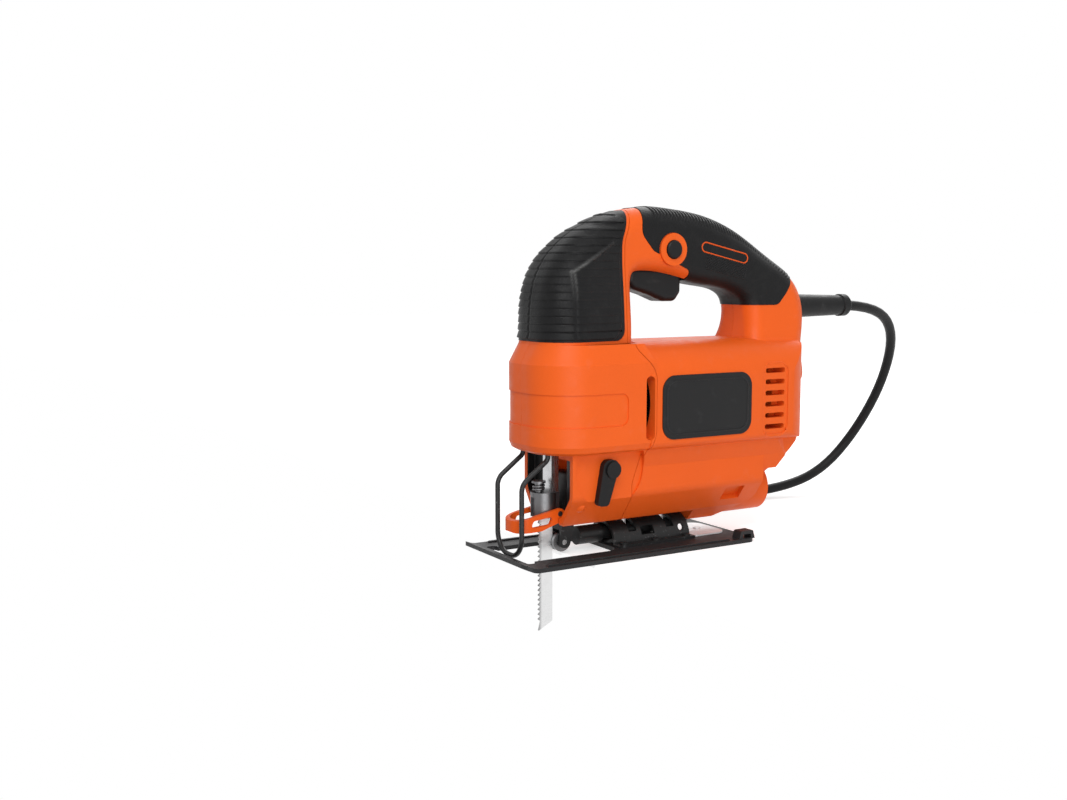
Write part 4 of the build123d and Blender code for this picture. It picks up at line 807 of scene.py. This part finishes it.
@dataclass
class FrontGrip:
    """Rubber over the front column: overlapping bands with a seam in front and a creased ridge on each side.

    Lengths are in millimetres, and lip, heel and fall are shares of a band's pitch and rise.
    """

    pitch: float = 4.6
    phase: float = 131.4
    rise: float = 1.05
    floor: float = 0.40
    sink: float = 0.45
    foot: float = 0.9
    lip: float = 0.14
    heel: float = 0.90
    fall: float = 0.6
    groove: float = 0.6
    flank: tuple = (8.0, 14.0)
    crease: tuple = ((-44.0, 120.0), (-44.0, 171.0), (-15.0, 188.2))
    ridge_rise: float = 0.9
    ridge_half: float = 0.8
    ridge_slope: float = 0.59
    flatter_behind: float = 0.25
    side_rim: float = 0.03
    end_rim: float = 0.012
    # where the ridge and the crease get a painted highlight of paler rubber: half widths and reaches, the
    # shift towards the lip, and the crease's share
    glint_ridge: tuple = (0.9, 20.0)
    glint_crease: tuple = (0.6, 12.0)
    glint_lip: float = 1.0
    crease_share: float = 0.7
    fan_depth: float = 20.0
    fan_limit: float = 0.55
    turn_share: float = 0.55
    front: tuple = ((-60.0, 131.4), (-59.0, 146.0), (-55.5, 166.0), (-43.0, 185.5), (-21.0, 200.0),
                    (-6.0, 205.4))
    edge: tuple = ((-14.2, 131.4), (-8.0, 140.0), (-8.0, 165.0), (-8.0, 182.0), (-5.6, 195.0), (-3.4, 202.5))
    rays: tuple = (52, 71)
    points: tuple = (230, 170)

    def build(self) -> None:
        """Finishes the nodes, lays the bands over them and marks where they get a painted highlight."""
        Dressing({RUBBER: "front_grip_left front_grip_right"}).dress()
        along = np.linspace(0.0, len(self.front) - 1.0, self.rays[0])
        across = np.linspace(-1.0, 1.0, self.rays[1])
        start, aim = self._rays(along, across)
        skin = Skin("front_grip_left", "front_grip_right")
        coarse = start + soften(skin.cast(start, aim, True), 2)[..., None] * aim
        rows, cols = places(self.rays, self.points)
        base, out = refine(coarse, rows, cols), refine(aim, rows, cols)
        height = self._height(base / MM, np.interp(cols, np.arange(len(across)), across))
        top = base + out * height[..., None] * MM
        bands = slab("front_grip_bands", top, base - out * self.foot * MM, RUBBER)
        # the painted highlight goes into a point attribute on the bands' top skin; the bottom skin gets none
        glint_share = self._glint_shares(base / MM).ravel()
        painted_glint = bands.data.attributes.new(PAINTED_GLINT, "FLOAT", "POINT")
        painted_glint.data.foreach_set("value", np.concatenate([glint_share, np.zeros_like(glint_share)]))

    def _rays(self, along: np.ndarray, across: np.ndarray) -> tuple:
        """Rays on a ladder of lines from the front profile to the rear edge.

        On each line they fan round its front end, and then go straight to both sides back to the edge.

        Args:
            along: places along the profile and the edge.
            across: columns from -1, left edge, to 1, right edge.
        Returns:
            Grids of starts in metres and unit directions.
        """
        spread = weights(len(self.front), along)
        front, edge = spread @ np.array(self.front), spread @ np.array(self.edge)
        long = np.linalg.norm(edge - front, axis=1, keepdims=True)
        run = (edge - front) / long
        middle = front + run * np.minimum(self.fan_depth, self.fan_limit * long)
        size = np.abs(across)
        turn = np.clip(size / self.turn_share, 0.0, 1.0) * math.pi / 2
        back = np.clip((size - self.turn_share) / (1.0 - self.turn_share), 0.0, 1.0)
        place = middle[:, None, :] + back[None, :, None] * (edge - middle)[:, None, :]
        start = np.stack([place[..., 0], np.zeros(place.shape[:2]), place[..., 1]], axis=-1) * MM
        side = np.broadcast_to(np.sign(across) * np.sin(turn), place.shape[:2])
        aim = np.stack([-run[:, :1] * np.cos(turn), side, -run[:, 1:] * np.cos(turn)], axis=-1)
        return start, aim

    def _height(self, at: np.ndarray, across: np.ndarray) -> np.ndarray:
        """Height of the bands: each is proud at its lower lip and falls towards the next.

        A seam runs down the front, and on both sides a crease goes up and then turns back as a ridge.
        Behind it the bands are flatter, and at the outer rims everything sinks into the solid.

        Args:
            at: places on the grip in millimetres, rows by columns by 3.
            across: columns from -1 to 1.
        Returns:
            Heights in millimetres, rows by columns.
        """
        flank = step(np.abs(at[..., 1]), *self.flank)
        u = np.mod((at[..., 2] - self.phase) / self.pitch, 1.0)
        band = step(u, 0.0, self.lip) * (1.0 - self.fall * u) * (1.0 - step(u, self.heel, 1.0))
        first, turn, last = (np.array(point) for point in self.crease)
        past = at[..., 0] - turn[0]
        limit = turn[1] + np.maximum(past, 0.0) * self.ridge_slope
        behind = flank * step(past, 0.0, 1.0) * step(limit - at[..., 2], 0.0, 1.0)
        crease = flank * bell(beside(at, first, turn), self.groove)
        seam = bell(at[..., 1], self.groove)
        ridge = flank * bell(beside(at, turn, last), self.ridge_half)
        height = self.rise * band * (1.0 - self.flatter_behind * behind) * (1.0 - crease) * (1.0 - seam)
        height = self.floor + height + self.ridge_rise * ridge
        size, row = np.abs(across)[None, :], np.linspace(0.0, 1.0, len(at))[:, None]
        ends = step(row, 0.0, self.end_rim) * step(1.0 - row, 0.0, self.end_rim)
        return -self.sink + (height + self.sink) * step(1.0 - size, 0.0, self.side_rim) * ends

    def _glint_shares(self, at: np.ndarray) -> np.ndarray:
        """How much painted highlight the rubber gets, as paler rubber standing in for a glint: most at the
        crease's turn, less up the ridge and down the lip.

        Args:
            at: places on the grip in millimetres, rows by columns by 3.
        Returns:
            Shares from 0 to 1, rows by columns.
        """
        first, turn, last = (np.array(point) for point in self.crease)
        away = np.linalg.norm(at[..., [0, 2]] - turn, axis=-1)
        half, reach = self.glint_ridge
        ridge = bell(beside(at, turn, last), half) * bell(away, reach)
        half, reach = self.glint_crease
        crease = bell(beside(at, first, turn) - self.glint_lip, half) * bell(away, reach)
        return step(np.abs(at[..., 1]), *self.flank) * np.maximum(ridge, self.crease_share * crease)


@dataclass
class HandleGrip:
    """Rubber over the handle: ribs on top, a lined pill on the left and a panel of diamonds on each side.

    Lengths are in millimetres. The pill and the panel are x, z, width, height and lean in degrees. The ribs'
    flanks are shares of their pitch, and their fan is half an angle in radians.
    """

    inner: tuple = ((22.0, 171.0), (32.0, 170.0), (56.0, 164.5), (77.0, 161.5), (90.0, 157.0), (94.0, 152.0))
    outer: tuple = ((19.0, 209.8), (34.0, 210.0), (63.0, 206.0), (91.0, 195.5), (117.0, 180.0),
                    (133.0, 168.0))
    sink: float = 0.3
    foot: float = 0.8
    rib_pitch: float = 2.6
    rib_rise: float = 0.60
    rib_flanks: tuple = (0.22, 0.62, 0.9)
    rib_fan: float = 1.02
    rib_fade: float = 0.72
    rib_rays: tuple = (60, 33)
    rib_points: tuple = (8, 48)
    pill: tuple = (73.4, 183.4, 37.5, 6.0, 12.2)
    pill_radius: float = 2.95
    pill_bead: tuple = (0.9, 0.3, 0.25)
    panel: tuple = (75.0, 174.6, 34.0, 11.0, 12.0)
    panel_floor: float = 0.34
    panel_rise: float = 0.55
    panel_rim: float = 0.9
    panel_rays: tuple = (11, 25)
    panel_points: tuple = (90, 220)
    diamond: float = 1.9

    def build(self) -> None:
        """Finishes the nodes and adds the top ribs, the pill line and the panels."""
        Dressing({RUBBER: "handle_grip_left handle_grip_right"}).dress()
        skin = Skin("handle_grip_left", "handle_grip_right")
        self._ribs(skin)
        self._pill(skin)
        for side in Side:
            self._panel(skin, side)

    def _ribs(self, skin: Skin) -> None:
        """Fine ribs across the top.

        Rays fan from the handle's middle line, and a wave along its back sets the height.

        Args:
            skin: the grip's surface.
        """
        along, across = self.rib_rays
        spread = weights(len(self.inner), np.linspace(0.0, len(self.inner) - 1.0, along))
        low, high = spread @ np.array(self.inner), spread @ np.array(self.outer)
        middle = 0.5 * (low + high)
        up = (high - low) / np.linalg.norm(high - low, axis=1, keepdims=True)
        fan = np.linspace(-self.rib_fan, self.rib_fan, across)
        zero = np.zeros((along, across))
        start = np.stack([zero + middle[:, :1], zero, zero + middle[:, 1:]], axis=-1) * MM
        aim = np.stack([up[:, :1] * np.cos(fan), zero + np.sin(fan), up[:, 1:] * np.cos(fan)], axis=-1)
        coarse = start + soften(skin.cast(start, aim, True))[..., None] * aim
        run = np.concatenate([[0.0], np.cumsum(np.linalg.norm(np.diff(high, axis=0), axis=1))])
        per_rib, wide = self.rib_points
        count = int(run[-1] / self.rib_pitch) * per_rib
        rows = np.interp(np.linspace(0.0, run[-1], count), run, np.arange(along))
        cols = np.linspace(0.0, across - 1.0, wide)
        base, out = refine(coarse, rows, cols), refine(aim, rows, cols)
        u = np.mod(np.interp(rows, np.arange(along), run) / self.rib_pitch, 1.0)
        full, fall, end = self.rib_flanks
        wave = step(u, 0.0, full) * (1.0 - step(u, fall, end))
        fade = 1.0 - step(np.abs(np.linspace(-1.0, 1.0, wide)), self.rib_fade, 1.0)
        height = -self.sink + (self.rib_rise + self.sink) * wave[:, None] * fade[None, :]
        top = base + out * height[..., None] * MM
        slab("handle_ribs", top, base - out * self.foot * MM, RUBBER)

    def _pill(self, skin: Skin) -> None:
        """A thin orange line in the shape of a pill on the left side.

        Args:
            skin: the grip's surface.
        """
        x, z, wide, high, degrees = self.pill
        line = lean(rounded_box(wide, high, self.pill_radius), degrees) + (x, z)
        bead("handle_pill_line", lay_on(skin, line, Side.LEFT), Side.LEFT.out(), self.pill_bead, ORANGE_LINE)

    def _panel(self, skin: Skin, side: Side) -> None:
        """A panel of small diamonds: two crossing waves on a grid laid on the grip's side.

        Args:
            skin: the grip's surface.
            side: side of the tool.
        """
        x, z, wide, high, degrees = self.panel
        v, u = (np.linspace(-0.5, 0.5, count) for count in self.panel_rays)
        grid = np.stack(np.meshgrid(u * wide, v * high), axis=-1)
        coarse = lay_on(skin, lean(grid, degrees) + (x, z), side)
        rows, cols = places(self.panel_rays, self.panel_points)
        base = refine(soften(coarse), rows, cols)
        p, q = np.meshgrid(cols / cols[-1] * wide, rows / rows[-1] * high)
        wave = np.abs(np.sin(math.pi * (p + q) / self.diamond) * np.sin(math.pi * (p - q) / self.diamond))
        edge = np.minimum(np.minimum(p, wide - p), np.minimum(q, high - q))
        height = -self.sink + (self.panel_floor + self.panel_rise * wave) * step(edge, 0.0, self.panel_rim)
        out = side.out() * MM
        top = base + out * height[..., None]
        slab("handle_panel_" + side.name.lower(), top, base - out * self.foot, RUBBER)


@dataclass
class Drive:
    """Motor, gears and plunger inside the shells."""

    def build(self) -> None:
        """Finishes the nodes."""
        Dressing({
            SHEETS: "armature_core field_core",
            WIRE: "armature_windings field_coils",
            BARS: "commutator",
            GROUND: "armature_shaft drive_gear crank_pin gear_axle plunger pendulum_pin roller_pin "
                    "front_bearing rear_bearing",
            CARBON: "carbon_brushes",
            BRASS: "brush_holders lower_bush upper_bush",
            CAST: "gear_case",
            DARK_STEEL: "pendulum_arm",
            BLACK: "fan",
        }).dress()


@dataclass
class BladeGear:
    """Blade, its clamp and lever, the guide roller, the selector and the wire guard.

    The sizes of the black sheets of painted shade in the pockets are in millimetres, and the bend is the
    share of their columns on the back plate.
    """

    shade_sheet_back: float = -41.0
    shade_sheet_front: float = -46.6
    shade_sheet_inner: float = 12.6
    shade_sheet_half: float = 0.35
    shade_sheet_height: tuple = (24.6, 60.0)
    shade_sheet_bend: float = 0.6
    shade_sheet_points: tuple = (60, 26)

    def build(self) -> None:
        """Finishes the nodes and puts a black sheet of painted shade into the pocket in each front cheek."""
        Dressing({
            BLADE: "blade",
            CLAMP: "clamp_body clamp_spring",
            ROLLER: "guide_roller",
            ORANGE_LEVER: "clamp_lever",
            BLACK: "selector_lever",
            DARK_STEEL: "finger_guard",
        }).dress()
        for side in Side:
            self._shade_sheet(side)

    def _shade_sheet(self, side: Side) -> None:
        """A thin black sheet of painted shade in one cheek's pocket: across its back, and then forward along
        its wall.

        Rays along Y find the wall, and the sheet's two skins lie half a thickness to each side of it.

        Args:
            side: which cheek.
        """
        rows, cols = self.shade_sheet_points
        z = np.linspace(*self.shade_sheet_height, rows)
        start = np.stack([np.full(rows, (self.shade_sheet_back + self.shade_sheet_front) / 2),
                          np.full(rows, side.value * self.shade_sheet_inner), z], axis=-1) * MM
        skin = Skin("front_cover_" + side.name.lower())
        wall = self.shade_sheet_inner + skin.cast(start, side.out(), False) / MM
        share = np.linspace(0.0, 1.0, cols)
        across = np.clip(share / self.shade_sheet_bend, 0.0, 1.0)
        forward = np.clip((share - self.shade_sheet_bend) / (1.0 - self.shade_sheet_bend), 0.0, 1.0)
        skins = []
        for lift in (-self.shade_sheet_half, self.shade_sheet_half):
            corner = self.shade_sheet_back + lift
            x = corner + forward * (self.shade_sheet_front - corner)
            y = self.shade_sheet_inner + across[None, :] * (wall[:, None] + lift - self.shade_sheet_inner)
            skins.append(np.stack([np.broadcast_to(x, y.shape), side.value * y,
                                   np.broadcast_to(z[:, None], y.shape)], axis=-1) * MM)
        # painted shade: a black sheet that darkens the pocket as its shade would
        slab("painted_shade_sheet_" + side.name.lower(), *skins, BLACK)


@dataclass
class Sole:
    """Sole plate with its tilting bracket and clamp."""

    def build(self) -> None:
        """Finishes the nodes."""
        Dressing({
            SOLE_PAINT: "sole_plate",
            DARK_STEEL: "bevel_bracket clamp_bar bracket_rivets",
            ZINC: "fence_plate fence_screw bevel_screws",
        }).dress()


@dataclass
class Cord:
    """Mains cord: out of the boot, down behind the tool and into a tied coil with a plug.

    The coil is wound in half turns, each a step smaller than the one before it, and then back out on top.
    """

    diameter: float = 7.0
    length: float = 2.14
    lead: tuple = ((187.0, 0.0, 148.5), (224.0, 0.0, 148.5), (258.0, 10.0, 130.0), (272.0, 32.0, 90.0),
                   (266.0, 54.0, 48.0), (242.0, 66.0, 17.0), (204.0, 72.0, 6.0), (158.0, 78.6, 5.4),
                   (114.0, 78.6, 5.4))
    middle: tuple = (106.0, 132.0)
    low: float = 5.4
    high: float = 13.2
    outer_radius: float = 53.4
    radius_step: float = 3.9
    low_halves: int = 8
    high_halves: int = 6
    half_points: int = 8
    end: tuple = (156.0, 177.6, 13.2)

    def build(self) -> None:
        points = np.concatenate([np.array(self.lead), self._coil(), [self.end]]) * MM
        curve = bpy.data.curves.new("mains_cord", "CURVE")
        curve.dimensions = "3D"
        curve.bevel_depth = self.diameter / 2 * MM
        curve.bevel_resolution = 6
        curve.use_fill_caps = True
        curve.resolution_u = 6
        spline = curve.splines.new("NURBS")
        spline.points.add(len(points) - 1)
        spline.points.foreach_set("co", np.concatenate([points, np.ones((len(points), 1))], axis=1).ravel())
        spline.order_u = 3
        spline.use_endpoint_u = True
        cord = bpy.data.objects.new("mains_cord", curve)
        bpy.context.scene.collection.objects.link(cord)
        curve.materials.append(CORD_RUBBER.material())
        Dressing({CORD_RUBBER: "plug_body", BLACK: "cord_tie", BRASS: "plug_pins"}).dress()
        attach(cord, HOUSING)
        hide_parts("cord_lead", "cord_coil")
        log.info("cord: %d control points", len(points))

    def _coil(self) -> np.ndarray:
        """Control points of the coil: half turns on centres that step sideways, in, up and out again.

        A spline of this order runs inside its control points by the cosine of half their spacing, so each
        half turn's points stand out by that much.

        Returns:
            Points in millimetres.
        """
        climb = self.low_halves
        steps = np.concatenate([np.arange(climb + 1), climb - 1 - np.arange(self.high_halves)])
        radii = self.outer_radius - self.radius_step * steps
        half = np.arange(len(radii))
        share = (np.arange(self.half_points) + 0.5) / self.half_points
        angle = -math.pi / 2 - math.pi * (half[:, None] + share[None, :])
        shifts = (radii[:-1] - radii[1:]) * np.where(half[:-1] % 2 == 0, 1.0, -1.0)
        centre = self.middle[1] + np.concatenate([[0.0], np.cumsum(shifts)])
        out = radii[:, None] / math.cos(math.pi / 2 / self.half_points)
        x = self.middle[0] + out * np.cos(angle)
        y = centre[:, None] + out * np.sin(angle)
        rise = np.clip(half[:, None] + share[None, :] - climb, 0.0, 1.0)
        z = self.low + (self.high - self.low) * rise
        return np.stack([x, y, z], axis=-1).reshape(-1, 3)


@dataclass(frozen=True)
class Lamp:
    """A square area lamp: its place and side in metres, and its power in watts."""

    name: str
    place: tuple
    size: float
    power: float

    def hang(self, aim: tuple) -> None:
        """Puts the lamp into the scene.

        Args:
            aim: the point it is turned to, in metres.
        """
        data = bpy.data.lights.new(self.name, "AREA")
        data.size, data.energy = self.size, self.power
        made = bpy.data.objects.new(self.name, data)
        bpy.context.scene.collection.objects.link(made)
        made.location = self.place
        made.rotation_euler = (Vector(aim) - Vector(self.place)).to_track_quat("-Z", "Y").to_euler()


def white_ray(tree: bpy.types.NodeTree) -> bpy.types.NodeSocket:
    """1 for rays from the camera, gloss or glass, 0 for other rays.

    Args:
        tree: the node tree to add the nodes to.
    Returns:
        The value.
    """
    path = tree.nodes.new("ShaderNodeLightPath")
    value = path.outputs["Is Camera Ray"]
    for name in ("Is Glossy Ray", "Is Transmission Ray"):
        most = tree.nodes.new("ShaderNodeMath")
        most.operation = "MAXIMUM"
        tree.links.new(value, most.inputs[0])
        tree.links.new(path.outputs[name], most.inputs[1])
        value = most.outputs[0]
    return value


@dataclass
class Studio:
    """Camera, lamps, white surroundings and the table under the tool.

    The eye and the table are in millimetres, the angles in degrees, and the focal length and the picture's
    width in pixels. The table's glow goes from the first value near the tool to the second far from it.
    """

    eye: tuple = (-422.35, -613.7, 169.79)
    yaw: float = 30.758
    pitch: float = 5.977
    focal: float = 1200.0
    picture_width: float = 1067.0
    sensor: float = 36.0
    clip: tuple = (0.01, 50.0)
    lamps: tuple = (
        Lamp("key", (-0.70, -0.95, 1.35), 0.9, 15.5),
        Lamp("fill", (-0.55, -1.35, 0.05), 1.0, 9.0),
        Lamp("rim", (0.9, 0.7, 1.1), 1.0, 9.0),
    )
    aim: tuple = (0.03, 0.0, 0.09)
    ambient: float = 0.40
    table_front: float = -38.0
    table_reach: float = 4000.0
    table_top: float = -0.02
    table_thick: float = 2.0
    table_colour: tuple = (0.82, 0.82, 0.82)
    glow_range: tuple = (0.20, 1.1)
    glow: tuple = (0.50, 0.72)

    def build(self) -> None:
        """Makes the camera, the lamps, the world and the table."""
        scene = bpy.context.scene
        scene.view_settings.view_transform = "Standard"
        self._camera(scene)
        self._world(scene)
        for lamp in self.lamps:
            lamp.hang(self.aim)
        self._table()

    def _camera(self, scene: bpy.types.Scene) -> None:
        """Sets the camera by the photograph's view.

        Args:
            scene: the scene.
        """
        data = bpy.data.cameras.new("camera")
        data.lens, data.sensor_width = self.focal / self.picture_width * self.sensor, self.sensor
        data.clip_start, data.clip_end = self.clip
        made = bpy.data.objects.new("camera", data)
        scene.collection.objects.link(made)
        a, p = math.radians(self.yaw), math.radians(self.pitch)
        look = Vector((math.sin(a) * math.cos(p), math.cos(a) * math.cos(p), -math.sin(p)))
        made.location = Vector(self.eye) * MM
        made.rotation_euler = look.to_track_quat("-Z", "Y").to_euler()
        scene.camera = made

    def _world(self, scene: bpy.types.Scene) -> None:
        """Soft even light, and plain white where the camera, gloss or glass sees it.

        Args:
            scene: the scene.
        """
        world = bpy.data.worlds.new("studio")
        scene.world = world
        world.use_nodes = True
        tree = world.node_tree
        seen = white_ray(tree)
        spread = tree.nodes.new("ShaderNodeMapRange")
        spread.inputs["To Min"].default_value = self.ambient
        spread.inputs["To Max"].default_value = 1.0
        tree.links.new(seen, spread.inputs["Value"])
        back = tree.nodes["Background"]
        back.inputs["Color"].default_value = (1.0, 1.0, 1.0, 1.0)
        tree.links.new(spread.outputs["Result"], back.inputs["Strength"])

    def _table(self) -> None:
        """A pale table top behind the blade, so that the blade hangs free in front of its edge."""
        ends_x, ends_y = (self.table_front, self.table_reach), (-self.table_reach, self.table_reach)
        heights = (self.table_top, self.table_top - self.table_thick)
        points = [(x * MM, y * MM, z * MM) for z in heights for y in ends_y for x in ends_x]
        faces = [(0, 1, 3, 2), (4, 6, 7, 5), (0, 2, 6, 4), (1, 5, 7, 3), (0, 4, 5, 1), (2, 3, 7, 6)]
        mesh = bpy.data.meshes.new("table")
        mesh.from_pydata(points, [], faces)
        made = bpy.data.objects.new("table", mesh)
        bpy.context.scene.collection.objects.link(made)
        mesh.materials.append(self._white())

    def _white(self) -> bpy.types.Material:
        """Pale paint that adds some white where it is seen, but less near the tool, to keep the shadow.

        Returns:
            The material.
        """
        graph = Graph("table_white")
        graph.shader.inputs["Base Color"].default_value = tint(self.table_colour)
        graph.shader.inputs["Roughness"].default_value = 0.9
        graph.shader.inputs["Specular IOR Level"].default_value = 0.0
        graph.shader.inputs["Emission Color"].default_value = (1.0, 1.0, 1.0, 1.0)
        away = graph.node("ShaderNodeVectorMath", operation="LENGTH")
        graph.feed(away.inputs[0], graph.place)
        times = graph.node("ShaderNodeMath", operation="MULTIPLY")
        graph.feed(times.inputs[0], white_ray(graph.tree))
        graph.feed(times.inputs[1], graph.spread(away.outputs["Value"], *self.glow_range, *self.glow))
        graph.surface("Emission Strength", times.outputs[0])
        return graph.material


def main() -> None:
    """Builds the sub-assemblies in order."""
    logging.basicConfig(level=logging.INFO, format="%(message)s")
    for part in (Studio(), Cord(), Housing(), FrontGrip(), HandleGrip(), Drive(), BladeGear(), Sole()):
        part.build()
        log.info("built %s", type(part).__name__)


if __name__ == "__main__":
    main()
